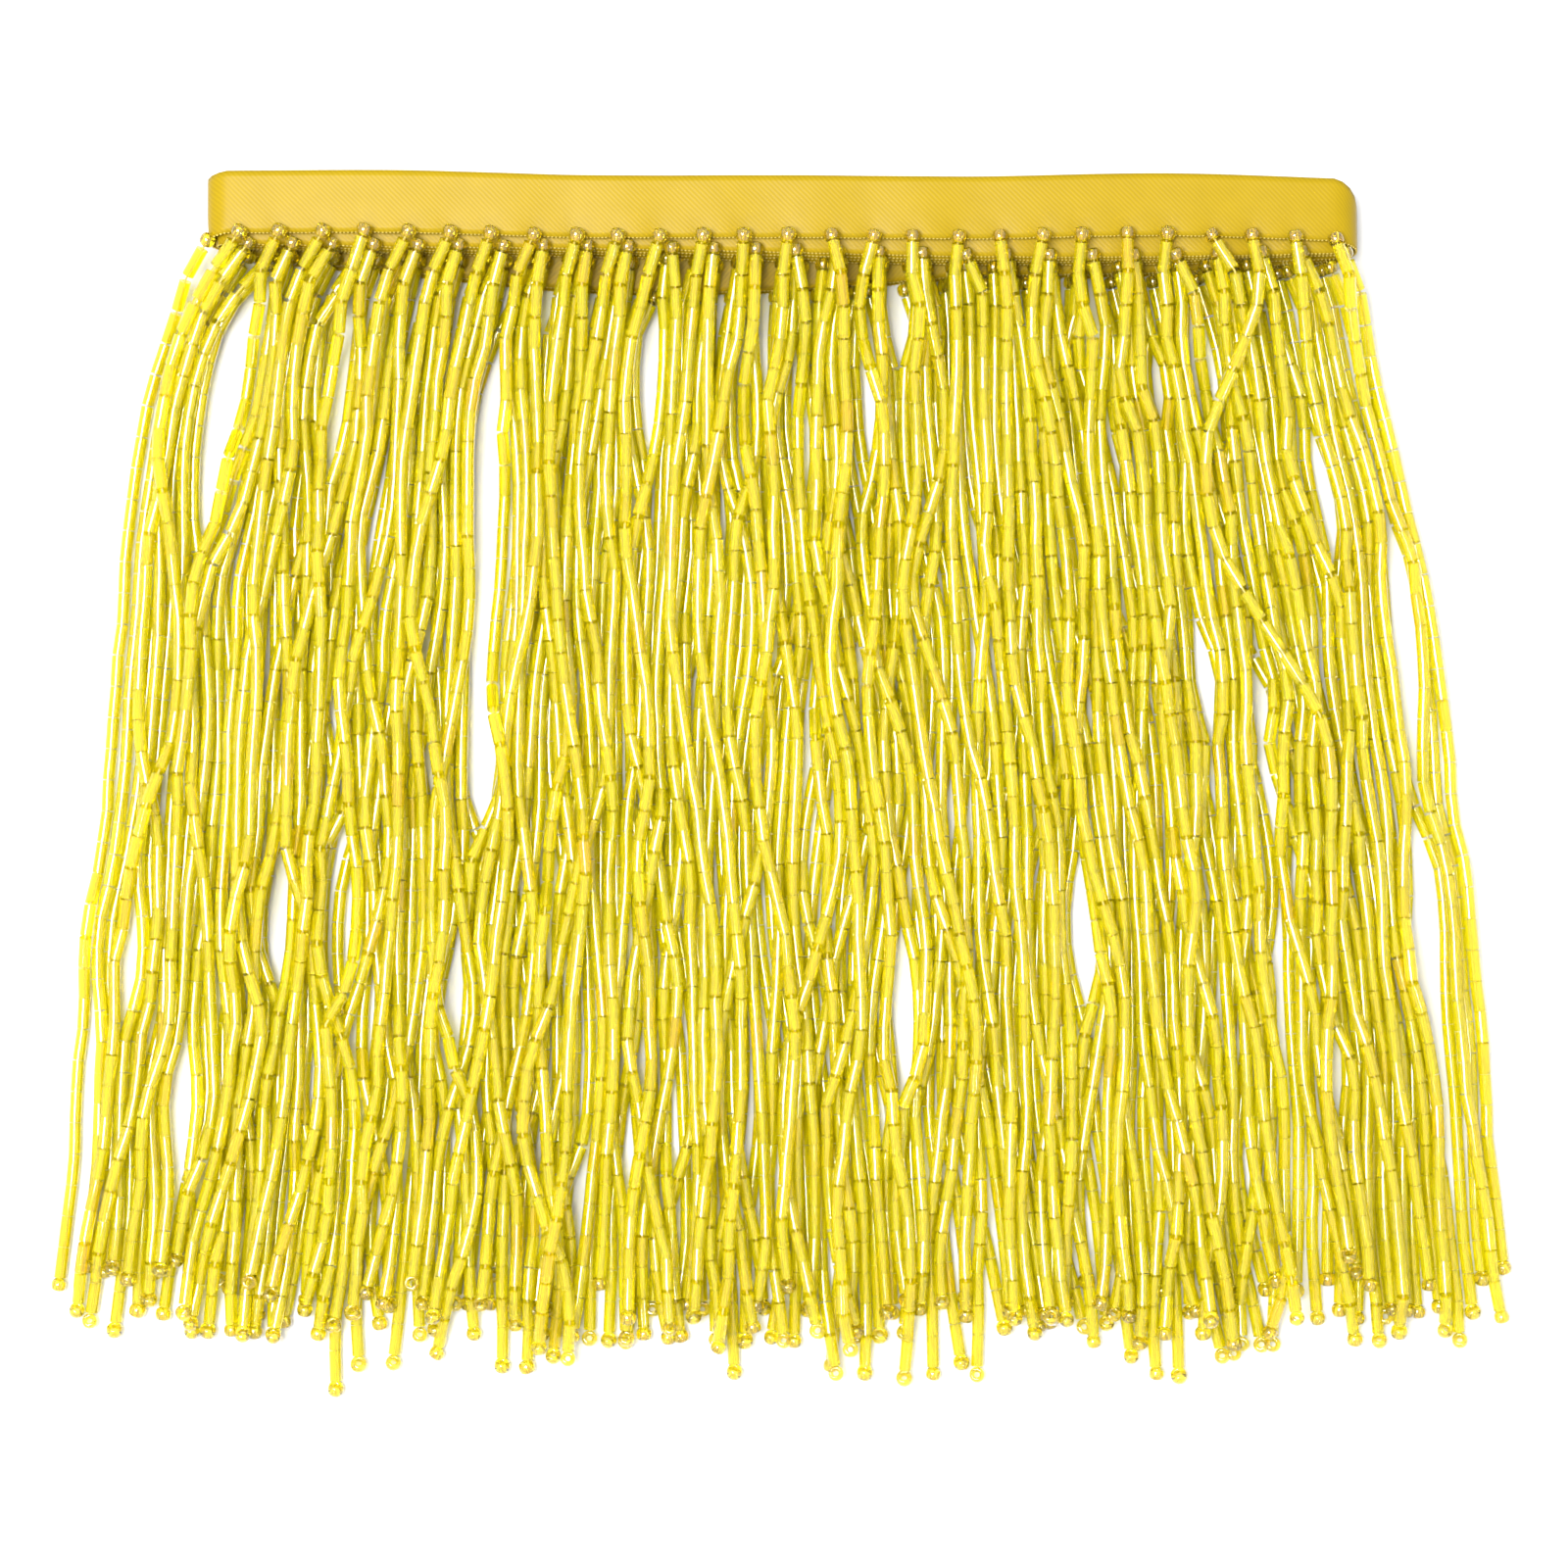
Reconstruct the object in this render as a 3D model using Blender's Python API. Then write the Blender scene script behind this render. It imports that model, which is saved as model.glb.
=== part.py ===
# Beaded fringe trim: a length of satin ribbon wound flat in seven layers, with strands of glass beads
# sewn along its lower edge. It lies face up on a flat surface. +X runs along the ribbon, +Y from the
# ends of the strands towards the ribbon, and +Z up, away from the surface.
# Sizes are in millimetres until MM makes them metres.

import math
import random
from collections import namedtuple

import bmesh
import bpy
import numpy as np
from mathutils import Vector

MM = 0.001
SEED = 41

# The ribbon: its cut length, its width, and how its layers lie
TRIM_LENGTH = 1280.0
RIBBON_WIDTH = 10.0
CLOTH = 1.0
LAYER_PITCH = 1.32
LEFT_FOLD_X = -89.8
RIGHT_FOLD_X = 88.6
OUTER_END_X = -88.0
LAYER_STEPS = 10
FOLD_STEPS = 6
LEFT_BULGE = 3.8
RIGHT_BULGE = 4.5

# The strip of edge that carries the strands, and the cut that parts it from the ribbon
STRIP_WIDTH = 1.2
PARTING_CUT = 0.3

# The strands as beads
BEAD_STEP = 5.15
BEAD_RADIUS = 1.025
ROOT_PITCH = 6.8
ROOT_JITTER = 0.35
TIGHT_FOLD = 5.0
FOLD_CLEAR = 1.0
STRIP_END_CLEAR = 1.5
FRONT_FIRST_ROOT_X = -87.8

# The strands as plain four-sided solids
STRAND_WIDTH = 1.6
STRAND_HEIGHT = 1.0
STRAND_GAP = 0.31
STRAND_STATIONS = (2, 7, 13, 20, 27)
SECTION_CLEAR = 0.3
PLACING_REACH = 1.5
PLACING_STEP = 0.3

# Lower edge of each layer of ribbon, as y at the columns' x, from the layer on the surface up
EDGE_COLUMNS = (-93.0, -62.0, -31.0, 0.0, 31.0, 62.0, 93.0)
LOWER_EDGES = {
    1: (85.6, 82.8, 80.0, 80.1, 82.2, 82.8, 85.0),
    2: (86.7, 83.4, 80.3, 80.4, 82.6, 83.2, 85.3),
    3: (86.9, 86.0, 85.6, 84.9, 84.4, 84.5, 85.4),
    4: (87.0, 86.2, 85.9, 85.2, 84.6, 84.7, 85.5),
    5: (87.1, 86.4, 86.1, 85.5, 84.8, 84.9, 85.6),
    6: (87.2, 86.7, 86.4, 85.8, 85.1, 85.1, 85.7),
    7: (88.7, 88.8, 88.0, 88.0, 87.8, 88.3, 87.3),
}

# The folds in the order of the winding, from its inner end: the layers that each joins, its side,
# where its edge strip is parted as a share of the fold, and how far its upper corner is drawn down
Fold = namedtuple("Fold", "start end side split corner_drop")
FOLDS = (
    Fold(4, 5, -1, 0.50, 0.0),
    Fold(5, 3, 1, 0.50, 0.4),
    Fold(3, 6, -1, 0.50, 0.2),
    Fold(6, 2, 1, 0.50, 1.0),
    Fold(2, 7, -1, 0.35, 0.3),
    Fold(7, 1, 1, 0.50, 3.6),
)

# How far the strands spread, as x of the outer strands at the columns' y
SPREAD_COLUMNS = (90.0, 80.0, 64.0, 48.0, 32.0, 16.0, 0.0, -32.0, -64.0, -90.0)
SPREAD_LEFT = (-93.8, -98.4, -103.9, -106.8, -108.6, -109.9, -111.1, -114.0, -117.0, -120.4)
SPREAD_RIGHT = (92.0, 93.9, 97.2, 101.2, 104.6, 107.4, 109.6, 113.2, 116.4, 120.0)

# Height at which the strands end, as y at the columns' x, and its scatter
END_COLUMNS = (-118.0, -90.0, -40.0, 20.0, 70.0, 118.0)
END_HEIGHTS = (-79.5, -86.0, -87.0, -88.5, -86.5, -85.0)
END_SCATTER = 4.2
END_LIMITS = (-9.0, 8.0)
LONGEST_STRAND = (7, 16)
LONGEST_DROP = 9.5

# The main gaps in the mat of strands: where each starts and ends, and how wide it opens
Opening = namedtuple("Opening", "top_x top_y low_x low_y width")
OPENINGS = (
    Opening(-87.5, 81.5, -95.0, 38.0, 4.6),
    Opening(-85.0, 84.0, -92.0, 36.0, 2.8),
    Opening(-73.5, 81.0, -72.5, 50.0, 2.0),
    Opening(-47.0, 71.0, -47.5, 20.0, 5.6),
    Opening(-48.0, 38.0, -49.5, -10.0, 4.2),
    Opening(-21.5, 80.0, -22.5, 53.0, 2.2),
    Opening(-6.8, 72.0, -6.6, 46.0, 1.8),
    Opening(2.0, 68.0, 3.4, 48.0, 2.2),
    Opening(13.6, 80.5, 12.8, 46.0, 2.2),
    Opening(18.8, 81.5, 19.6, 69.0, 2.6),
    Opening(66.4, 77.0, 69.4, 57.0, 2.2),
    Opening(59.0, 70.5, 61.2, 60.0, 2.2),
    Opening(50.0, 78.0, 49.6, 62.0, 2.0),
    Opening(83.0, 60.0, 90.5, 34.0, 3.4),
    Opening(99.5, 43.0, 103.0, -3.0, 2.2),
    Opening(76.0, 22.0, 78.6, 9.0, 2.0),
    Opening(68.4, 25.0, 69.4, 8.0, 1.8),
    Opening(105.6, -6.0, 102.0, -35.0, 2.0),
    Opening(47.6, -12.0, 49.8, -38.0, 1.8),
    Opening(19.2, -24.0, 19.8, -50.0, 2.4),
    Opening(89.4, -38.0, 90.0, -54.0, 1.4),
    Opening(-71.6, -6.0, -73.0, -38.0, 3.2),
    Opening(-82.0, -12.0, -82.6, -34.0, 2.4),
    Opening(-106.4, -14.0, -106.6, -40.0, 2.2),
    Opening(-97.4, -42.0, -98.6, -62.0, 2.8),
    Opening(-53.0, -26.0, -55.0, -48.0, 2.2),
)
OPENING_REACH = 8.0
OPENING_BLUNTNESS = 0.7
OPENING_COST = 3.0

# Single strands that stray over the others: layer, number in it from the left, the stretch, the shift
Stray = namedtuple("Stray", "layer number top_y low_y shift")
STRAYS = (
    Stray(7, 25, 88.0, 4.0, -14.5),
    Stray(7, 7, 66.0, -4.0, -6.5),
    Stray(7, 1, 58.0, -14.0, 5.5),
    Stray(6, 16, 84.0, 28.0, 4.5),
    Stray(7, 19, 30.0, -60.0, 5.0),
    Stray(6, 9, -20.0, -88.0, -6.0),
)

# How the strands sway: the reach of the sway they share and of each one's own, how it grows with
# the depth below the ribbon, and how little of it the mat's outer strands have
SHARED_SWAY = 2.2
OWN_SWAY = 1.1
END_DRIFT = 2.2
SWAY_DEPTH = 45.0
KINK = 0.16
SWAY_SLANT = 0.9
FRINGE_LENGTH = 175.0
LEAN = 0.985
RIM_FREEDOM = 0.1
FREEDOM_RISE = 8.0
MOST_BEADS = 40

# How a strand settles beside those under it: the widest step aside, its grid and its costs
SETTLE_REACH = 3.0
SETTLE_STEP = 0.25
BEND_COST = 1.2
STEP_COST = 0.06
STEEPEST = 2.1
BEAD_SAMPLES = (-2.0, -0.7, 0.7, 2.0)
ROOT_SHARE = 0.12

# The grid of heights over the surface
GRID_LEFT = -135.0
GRID_TOP = 100.0
GRID_DX = 0.25
GRID_DY = 0.5
GRID_SHAPE = (412, 1081)

Root = namedtuple("Root", "layer along x z edge")


def through(columns, values, x):
    """Value at x of a smooth curve through the table's columns."""
    x = min(max(x, min(columns)), max(columns))
    points = sorted(zip(columns, values))
    i = max(k for k in range(len(points) - 1) if points[k][0] <= x)
    (x0, y0), (x1, y1) = points[i], points[i + 1]
    before = points[max(i - 1, 0)]
    after = points[min(i + 2, len(points) - 1)]
    slope0 = (y1 - before[1]) / (x1 - before[0])
    slope1 = (after[1] - y0) / (after[0] - x0)
    t = (x - x0) / (x1 - x0)
    span = x1 - x0
    lift0 = (2 * t ** 3 - 3 * t ** 2 + 1) * y0 + (t ** 3 - 2 * t ** 2 + t) * span * slope0
    lift1 = (3 * t ** 2 - 2 * t ** 3) * y1 + (t ** 3 - t ** 2) * span * slope1
    return lift0 + lift1


def layer_z(layer):
    """Height of the middle of a layer of ribbon."""
    return CLOTH / 2 + (layer - 1) * LAYER_PITCH


def winding():
    """The ribbon's course from its inner end, as (kind, length, start x, direction, layer or fold)."""
    reach = RIGHT_FOLD_X - LEFT_FOLD_X
    folds = [math.pi * abs(layer_z(f.end) - layer_z(f.start)) / 2 for f in FOLDS]
    outer = RIGHT_FOLD_X - OUTER_END_X
    inner = TRIM_LENGTH - sum(folds) - (len(FOLDS) - 1) * reach - outer
    lengths = [inner] + [reach] * (len(FOLDS) - 1) + [outer]
    course = []
    layers = [f.start for f in FOLDS] + [FOLDS[-1].end]
    x = LEFT_FOLD_X + inner
    for i, layer in enumerate(layers):
        direction = -1 if i % 2 == 0 else 1
        course.append(("layer", lengths[i], x, direction, layer))
        x += direction * lengths[i]
        if i < len(FOLDS):
            course.append(("fold", folds[i], x, direction, FOLDS[i]))
    return course


def station(course, along):
    """Middle of the cloth, its direction and its edges' y at a length along the ribbon."""
    for kind, length, x, direction, what in course:
        if along <= length or (kind == "layer" and what == FOLDS[-1].end):
            break
        along -= length
    if kind == "layer":
        x += direction * along
        low = through(EDGE_COLUMNS, LOWER_EDGES[what], x)
        return x, layer_z(what), (direction, 0.0), low, low + RIBBON_WIDTH
    share = along / length
    start, end = layer_z(what.start), layer_z(what.end)
    turn = math.pi * share
    rise = (end - start) / 2
    out = abs(rise) * math.sin(turn)
    heading = (what.side * math.cos(turn), math.copysign(math.sin(turn), rise))
    low = sum(
        through(EDGE_COLUMNS, LOWER_EDGES[layer], x) * part
        for layer, part in ((what.start, 1 - share), (what.end, share))
    )
    upper = low + RIBBON_WIDTH - what.corner_drop * math.sin(turn)
    return x + what.side * out, (start + end) / 2 - rise * math.cos(turn), heading, low, upper


def layer_spans(course):
    """Length along the ribbon at which each layer's edge strip starts and ends."""
    spans, along, start = {}, 0.0, 0.0
    for kind, length, x, direction, what in course:
        if kind == "fold":
            spans[what.start] = (start, along + what.split * length)
            start = along + what.split * length
        along += length
    spans[FOLDS[-1].end] = (start, along)
    return spans


def roots(course, chance):
    """Where the strands are sewn on, layer by layer from the surface up, left to right."""
    front = sum(length for _, length, *_ in course[:-3]) + FRONT_FIRST_ROOT_X - LEFT_FOLD_X
    first = front % ROOT_PITCH
    inner_folds = []
    along = 0.0
    for kind, length, *_ in course:
        if kind == "fold" and length < TIGHT_FOLD:
            inner_folds.append((along - FOLD_CLEAR, along + length + FOLD_CLEAR))
        along += length
    spans = layer_spans(course)
    found = {layer: [] for layer in spans}
    for i in range(int((TRIM_LENGTH - first) / ROOT_PITCH) + 1):
        place = first + i * ROOT_PITCH + chance.uniform(-ROOT_JITTER, ROOT_JITTER)
        if any(low < place < high for low, high in inner_folds):
            continue
        for layer, (start, end) in spans.items():
            if start + STRIP_END_CLEAR < place < end - STRIP_END_CLEAR:
                x, z, _, low, _ = station(course, place)
                found[layer].append(Root(layer, place, x, z, low))
    return {layer: sorted(found[layer], key=lambda root: root.x) for layer in sorted(found)}


def waves(chance, count, longest, shortest):
    """A few sine waves of chance length and phase, as (wave number, phase, weight)."""
    lengths = [shortest * (longest / shortest) ** chance.random() for _ in range(count)]
    return [(2 * math.pi / length, chance.uniform(0, 2 * math.pi), count ** -0.5) for length in lengths]


def sway(wave_list, place):
    return sum(weight * math.sin(number * place + phase) for number, phase, weight in wave_list)


def opened(points):
    """The line held to one side of each gap in the mat that it passes."""
    for gap in OPENINGS:
        beside = []
        for i, (x, y) in enumerate(points):
            share = (gap.top_y - y) / (gap.top_y - gap.low_y)
            if 0 < share < 1:
                beside.append((i, x - gap.top_x - share * (gap.low_x - gap.top_x), share))
        side = math.copysign(1.0, sum(off for _, off, _ in beside))
        for i, off, share in beside:
            grown = math.sin(math.pi * share) ** OPENING_BLUNTNESS
            half = (gap.width / 2 + BEAD_RADIUS) * grown
            off *= side
            if off > OPENING_REACH:
                continue
            push = half * (1 - max(off, 0.0) / OPENING_REACH)
            if off < 0:
                push -= off * grown
            points[i] = (points[i][0] + side * push, points[i][1])
    return points


def nominal_line(root, number, shared, chance):
    """Points a bead apart that a strand would follow on bare ground, from its root down."""
    own = waves(chance, 3, 170.0, 55.0)
    drift = chance.gauss(0.0, END_DRIFT)
    scatter = min(max(chance.gauss(0.0, END_SCATTER), END_LIMITS[0]), END_LIMITS[1])
    kinks = [chance.gauss(0.0, KINK) for _ in range(MOST_BEADS)]
    if (root.layer, number) == LONGEST_STRAND:
        scatter = -LONGEST_DROP
    share = min(max((root.x - SPREAD_LEFT[0]) / (SPREAD_RIGHT[0] - SPREAD_LEFT[0]), 0.0), 1.0)
    freedom = min(1.0, FREEDOM_RISE * min(share, 1.0 - share) + RIM_FREEDOM)
    stray = [s for s in STRAYS if (s.layer, s.number) == (root.layer, number)]
    points = [(root.x, root.edge)]
    kink = 0.0
    for i in range(MOST_BEADS):
        y = root.edge - (i + 1) * BEAD_STEP * LEAN
        depth = root.edge - y
        grown = freedom * min(depth / SWAY_DEPTH, 1.0) ** 1.5
        left = through(SPREAD_COLUMNS, SPREAD_LEFT, y)
        right = through(SPREAD_COLUMNS, SPREAD_RIGHT, y)
        x = root.x + (1 - share) ** 2 * (left - SPREAD_LEFT[0]) + share ** 2 * (right - SPREAD_RIGHT[0])
        x += grown * (SHARED_SWAY * sway(shared, y + SWAY_SLANT * root.x) + OWN_SWAY * sway(own, y))
        x += freedom * drift * (depth / FRINGE_LENGTH) ** 1.5
        kink = 0.5 * kink + kinks[i]
        x += kink
        if stray:
            along = (stray[0].top_y - y) / (stray[0].top_y - stray[0].low_y)
            if 0 < along < 1:
                x += stray[0].shift * math.sin(math.pi * along) ** 2
        if y < through(END_COLUMNS, END_HEIGHTS, x) + scatter:
            break
        points.append((x, y))
    return points if stray else opened(points)


def row_of(y):
    return int(round((GRID_TOP - y) / GRID_DY))


def column_of(x):
    return np.clip(np.round((np.asarray(x) - GRID_LEFT) / GRID_DX).astype(int), 0, GRID_SHAPE[1] - 1)


def opening_cost():
    """Grid of what it costs a strand to lie outside the mat or in one of its gaps."""
    cost = np.zeros(GRID_SHAPE)
    for row in range(GRID_SHAPE[0]):
        y = GRID_TOP - row * GRID_DY
        cost[row, :column_of(through(SPREAD_COLUMNS, SPREAD_LEFT, y))] = OPENING_COST
        cost[row, column_of(through(SPREAD_COLUMNS, SPREAD_RIGHT, y)):] = OPENING_COST
    for gap in OPENINGS:
        for row in range(row_of(gap.top_y), row_of(gap.low_y)):
            share = (GRID_TOP - row * GRID_DY - gap.top_y) / (gap.low_y - gap.top_y)
            middle = gap.top_x + share * (gap.low_x - gap.top_x)
            grown = math.sin(math.pi * min(max(share, 0.0), 1.0)) ** OPENING_BLUNTNESS
            half = (gap.width / 2 + BEAD_RADIUS) * grown
            cost[row, column_of(middle - half):column_of(middle + half) + 1] = OPENING_COST
    return cost


def settled(points, rest, cost):
    """The line moved aside, bead by bead, to where it lies lowest without sharp bends."""
    shifts = np.arange(-SETTLE_REACH, SETTLE_REACH + SETTLE_STEP / 2, SETTLE_STEP)
    bend = BEND_COST * (shifts[:, None] - shifts[None, :]) ** 2
    total = np.where(np.abs(shifts) < SETTLE_STEP / 2, 0.0, 1e6)
    back = []
    for x, y in points[1:]:
        rows = [row_of(y + step) for step in BEAD_SAMPLES]
        columns = column_of(x + shifts)
        here = (rest[rows][:, columns] + cost[rows][:, columns]).mean(axis=0) + STEP_COST * shifts ** 2
        ways = total[:, None] + bend
        back.append(ways.argmin(axis=0))
        total = ways.min(axis=0) + here
    pick = int(total.argmin())
    picks = [pick]
    for choice in reversed(back):
        pick = int(choice[pick])
        picks.append(pick)
    return [(x + shifts[p], y) for (x, y), p in zip(points, reversed(picks))]


def strung(needed, marks, fixed_root):
    """Lowest heights at the marks whose straight runs clear the needed heights, row by row."""
    heights = [needed[mark] for mark in marks]
    if fixed_root is not None:
        heights[0] = fixed_root
    for _ in range(60):
        worst = 0.0
        for i in range(len(marks) - 1):
            a, b = marks[i], marks[i + 1]
            t = np.arange(b - a + 1) / (b - a)
            short = needed[a:b + 1] - ((1 - t) * heights[i] + t * heights[i + 1])
            k = int(short.argmax())
            if i == 0 and fixed_root is not None:
                clear = t >= ROOT_SHARE
                reach = (needed[a:b + 1][clear] - (1 - t[clear]) * fixed_root) / t[clear]
                heights[1] = max(heights[1], reach.max())
                continue
            if short[k] < 1e-4:
                continue
            worst = max(worst, short[k])
            spread = (1 - t[k]) ** 2 + t[k] ** 2
            heights[i] += short[k] * (1 - t[k]) / spread
            heights[i + 1] += short[k] * t[k] / spread
        if worst < 1e-3:
            break
    return heights


def by_row(points):
    """Rows that a line crosses, its x on each, and the rows of its points."""
    marks = [row_of(y) for _, y in points]
    rows = np.arange(marks[0], marks[-1] + 1)
    xs = np.interp(rows, marks, [x for x, _ in points])
    return rows, xs, [mark - marks[0] for mark in marks]


def bead_lines(course):
    """Every strand as a line of bead ends (x, y), laid from the surface up as round beads."""
    chance = random.Random(SEED)
    rest = np.full(GRID_SHAPE, BEAD_RADIUS)
    cost = opening_cost()
    reach = int(2 * BEAD_RADIUS / GRID_DX) + 1
    lines = {}
    for layer, layer_roots in roots(course, chance).items():
        shared = waves(chance, 4, 260.0, 90.0)
        lines[layer] = []
        for number, root in enumerate(layer_roots):
            points = settled(nominal_line(root, number, shared, chance), rest, cost)
            rows, xs, marks = by_row(points)
            heights = strung(rest[rows, column_of(xs)], marks, None)
            for i in range(1, len(heights)):
                heights[i] = max(heights[i], heights[i - 1] - STEEPEST)
            zs = np.interp(np.arange(len(rows)), marks, heights)
            steps = np.arange(-reach, reach + 1)
            columns = column_of(xs)[:, None] + steps[None, :]
            away = (columns * GRID_DX + GRID_LEFT - xs[:, None]) ** 2
            lift = zs[:, None] + np.sqrt(np.maximum((2 * BEAD_RADIUS) ** 2 - away, 0.0))
            columns = np.clip(columns, 0, GRID_SHAPE[1] - 1)
            lift = np.where(away < (2 * BEAD_RADIUS) ** 2, lift, 0.0)
            rest[rows[:, None], columns] = np.maximum(rest[rows[:, None], columns], lift)
            lines[layer].append((root, points))
    return lines


def placed(points, needed):
    """The stations of a plain strand moved aside to where its straight runs lie lowest."""
    shifts = np.arange(-PLACING_REACH, PLACING_REACH + PLACING_STEP / 2, PLACING_STEP)
    total = np.where(np.abs(shifts) < PLACING_STEP / 2, 0.0, 1e6)
    back = []
    for (x0, y0), (x1, y1) in zip(points, points[1:]):
        rows = np.arange(row_of(y0), row_of(y1) + 1)
        t = (rows - rows[0]) / (rows[-1] - rows[0])
        start = (x0 + shifts)[:, None, None] * (1 - t)
        end = (x1 + shifts)[None, :, None] * t
        under = needed[rows[None, None, :], column_of(start + end)]
        ways = total[:, None] + 0.5 * under.max(axis=2) + 0.5 * under.mean(axis=2)
        back.append(ways.argmin(axis=0))
        total = ways.min(axis=0) + STEP_COST * shifts ** 2
    pick = int(total.argmin())
    picks = [pick]
    for choice in reversed(back):
        pick = int(choice[pick])
        picks.append(pick)
    return [(x + shifts[p], y) for (x, y), p in zip(points, reversed(picks))]


def solid_strands(course):
    """Every strand as (root, stations), its stations (x, y, z) clear of all strands under it."""
    floor = STRAND_HEIGHT / 2
    needed = np.full(GRID_SHAPE, floor)
    strands = {}
    for layer, lines in bead_lines(course).items():
        strands[layer] = []
        for root, line in lines:
            kept = [i for i in STRAND_STATIONS if i < len(line) - 3] + [len(line) - 1]
            points = placed([line[0]] + [line[i] for i in kept], needed)
            rows, xs, marks = by_row(points)
            heights = strung(needed[rows, column_of(xs)], marks, root.z)
            zs = np.interp(np.arange(len(rows)), marks, heights)
            slant = np.hypot(1.0, np.gradient(xs) / GRID_DY)
            side = np.ceil((STRAND_WIDTH + STRAND_GAP) * slant / GRID_DX).astype(int)
            for row, column, z, reach in zip(rows, column_of(xs), zs, side):
                cells = needed[row - 1:row + 2, column - reach:column + reach + 1]
                np.maximum(cells, z + STRAND_HEIGHT + STRAND_GAP, out=cells)
            strands[layer].append((root, [(x, y, z) for (x, y), z in zip(points, heights)]))
        over_ribbon(needed, layer)
    return strands


def over_ribbon(needed, layer):
    """Raise the grid of needed heights above a layer of ribbon."""
    height = layer_z(layer) + CLOTH / 2 + STRAND_GAP / 2 + STRAND_HEIGHT / 2
    for column in range(column_of(LEFT_FOLD_X - LEFT_BULGE), column_of(RIGHT_FOLD_X + RIGHT_BULGE)):
        x = GRID_LEFT + column * GRID_DX
        low = through(EDGE_COLUMNS, LOWER_EDGES[layer], x)
        cells = needed[row_of(low + RIBBON_WIDTH):row_of(low) + 1, column]
        np.maximum(cells, height, out=cells)


def section(place, low, upper):
    """Four corners of the cloth at a station: by side of its thickness and edge of its width."""
    x, z, (dx, dz), _, _ = place
    corners = {}
    for face in (-1, 1):
        for edge, y in ((-1, low), (1, upper)):
            offset = face * CLOTH / 2
            corners[face, edge] = ((x + dz * offset) * MM, y * MM, (z - dx * offset) * MM)
    return corners


def pull(bm, face, order, corners):
    """Pull a four-sided face out to new corners and return the face at the end."""
    end = bmesh.ops.extrude_discrete_faces(bm, faces=[face])["faces"][0]
    for vert, key in zip(end.verts, order):
        vert.co = corners[key]
    return end


def swept(bm, sections):
    """A closed bar through a list of sections."""
    order = [(-1, -1), (-1, 1), (1, 1), (1, -1)]
    face = bm.faces.new([bm.verts.new(sections[0][key]) for key in order])
    bmesh.ops.duplicate(bm, geom=[face])
    for corners in sections[1:]:
        face = pull(bm, face, order, corners)
    bmesh.ops.remove_doubles(bm, verts=bm.verts, dist=0.01 * MM)


def finished(name, bm, material):
    bmesh.ops.recalc_face_normals(bm, faces=bm.faces)
    mesh = bpy.data.meshes.new(name)
    bm.to_mesh(mesh)
    bm.free()
    mesh.materials.append(material)
    obj = bpy.data.objects.new(name, mesh)
    bpy.context.scene.collection.objects.link(obj)
    return obj


def plain_material(name, color, roughness):
    material = bpy.data.materials.new(name)
    material.use_nodes = True
    shader = material.node_tree.nodes["Principled BSDF"]
    shader.inputs["Base Color"].default_value = (*color, 1.0)
    shader.inputs["Roughness"].default_value = roughness
    shader.inputs["Metallic"].default_value = 0.0
    return material


def ribbon_places(course):
    """Lengths along the ribbon at which its solid has a section."""
    places, along = [0.0], 0.0
    for kind, length, *_ in course:
        steps = LAYER_STEPS if kind == "layer" else FOLD_STEPS
        places += [along + length * (i + 1) / steps for i in range(steps)]
        along += length
    return places


def make_ribbon(course):
    """The wound ribbon without its narrow lower strips."""
    bm = bmesh.new()
    sections = []
    for along in ribbon_places(course):
        place = station(course, along)
        sections.append(section(place, place[3] + STRIP_WIDTH + PARTING_CUT, place[4]))
    swept(bm, sections)
    return finished("ribbon", bm, plain_material("satin", (0.80, 0.55, 0.03), 0.42))


def make_fringe(course, layer, strands):
    """One layer's strip of edge with its strands pulled out of it."""
    start, end = layer_spans(course)[layer]
    ends = [start + PARTING_CUT / 2, end - PARTING_CUT / 2]
    half = STRAND_WIDTH / 2
    places = set(ends)
    for root, _ in strands:
        places |= {root.along - half, root.along + half}
    along = 0.0
    for kind, length, *_ in course:
        steps = LAYER_STEPS if kind == "layer" else FOLD_STEPS
        for i in range(steps + 1):
            place = along + length * i / steps
            near = any(abs(place - root.along) < half + SECTION_CLEAR for root, _ in strands)
            if ends[0] + SECTION_CLEAR < place < ends[1] - SECTION_CLEAR and not near:
                places.add(place)
        along += length
    places = sorted(places)
    bm = bmesh.new()
    sections = []
    for along in places:
        place = station(course, along)
        sections.append(section(place, place[3], place[3] + STRIP_WIDTH))
    swept(bm, sections)
    grow_strands(bm, strands)
    return finished(f"fringe_{layer}", bm, plain_material(f"glass_{layer}", (0.86, 0.70, 0.02), 0.12))


def face_under(bm, root):
    """The strip's face at a root."""
    middle = Vector((root.x, root.edge, root.z)) * MM
    return min(bm.faces, key=lambda face: (face.calc_center_median() - middle).length)


def grow_strands(bm, strands):
    """Pull each strand out of its strip, station by station."""
    for root, stations in strands:
        face = face_under(bm, root)
        by_x = sorted(face.verts, key=lambda vert: vert.co.x)
        left, right = by_x[:2], by_x[2:]
        low = [min(pair, key=lambda vert: vert.co.z) for pair in (left, right)]
        order = [(-1 if vert in left else 1, -1 if vert in low else 1) for vert in face.verts]
        for i in range(1, len(stations)):
            before = Vector(stations[i - 1])
            after = Vector(stations[min(i + 1, len(stations) - 1)])
            run = (after - before).to_2d().normalized()
            across = Vector((-run.y, run.x, 0.0)) * STRAND_WIDTH / 2
            up = Vector((0.0, 0.0, STRAND_HEIGHT / 2))
            middle = Vector(stations[i])
            corners = {(side, height): (middle + side * across + height * up) * MM
                       for side in (-1, 1) for height in (-1, 1)}
            face = pull(bm, face, order, corners)


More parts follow.
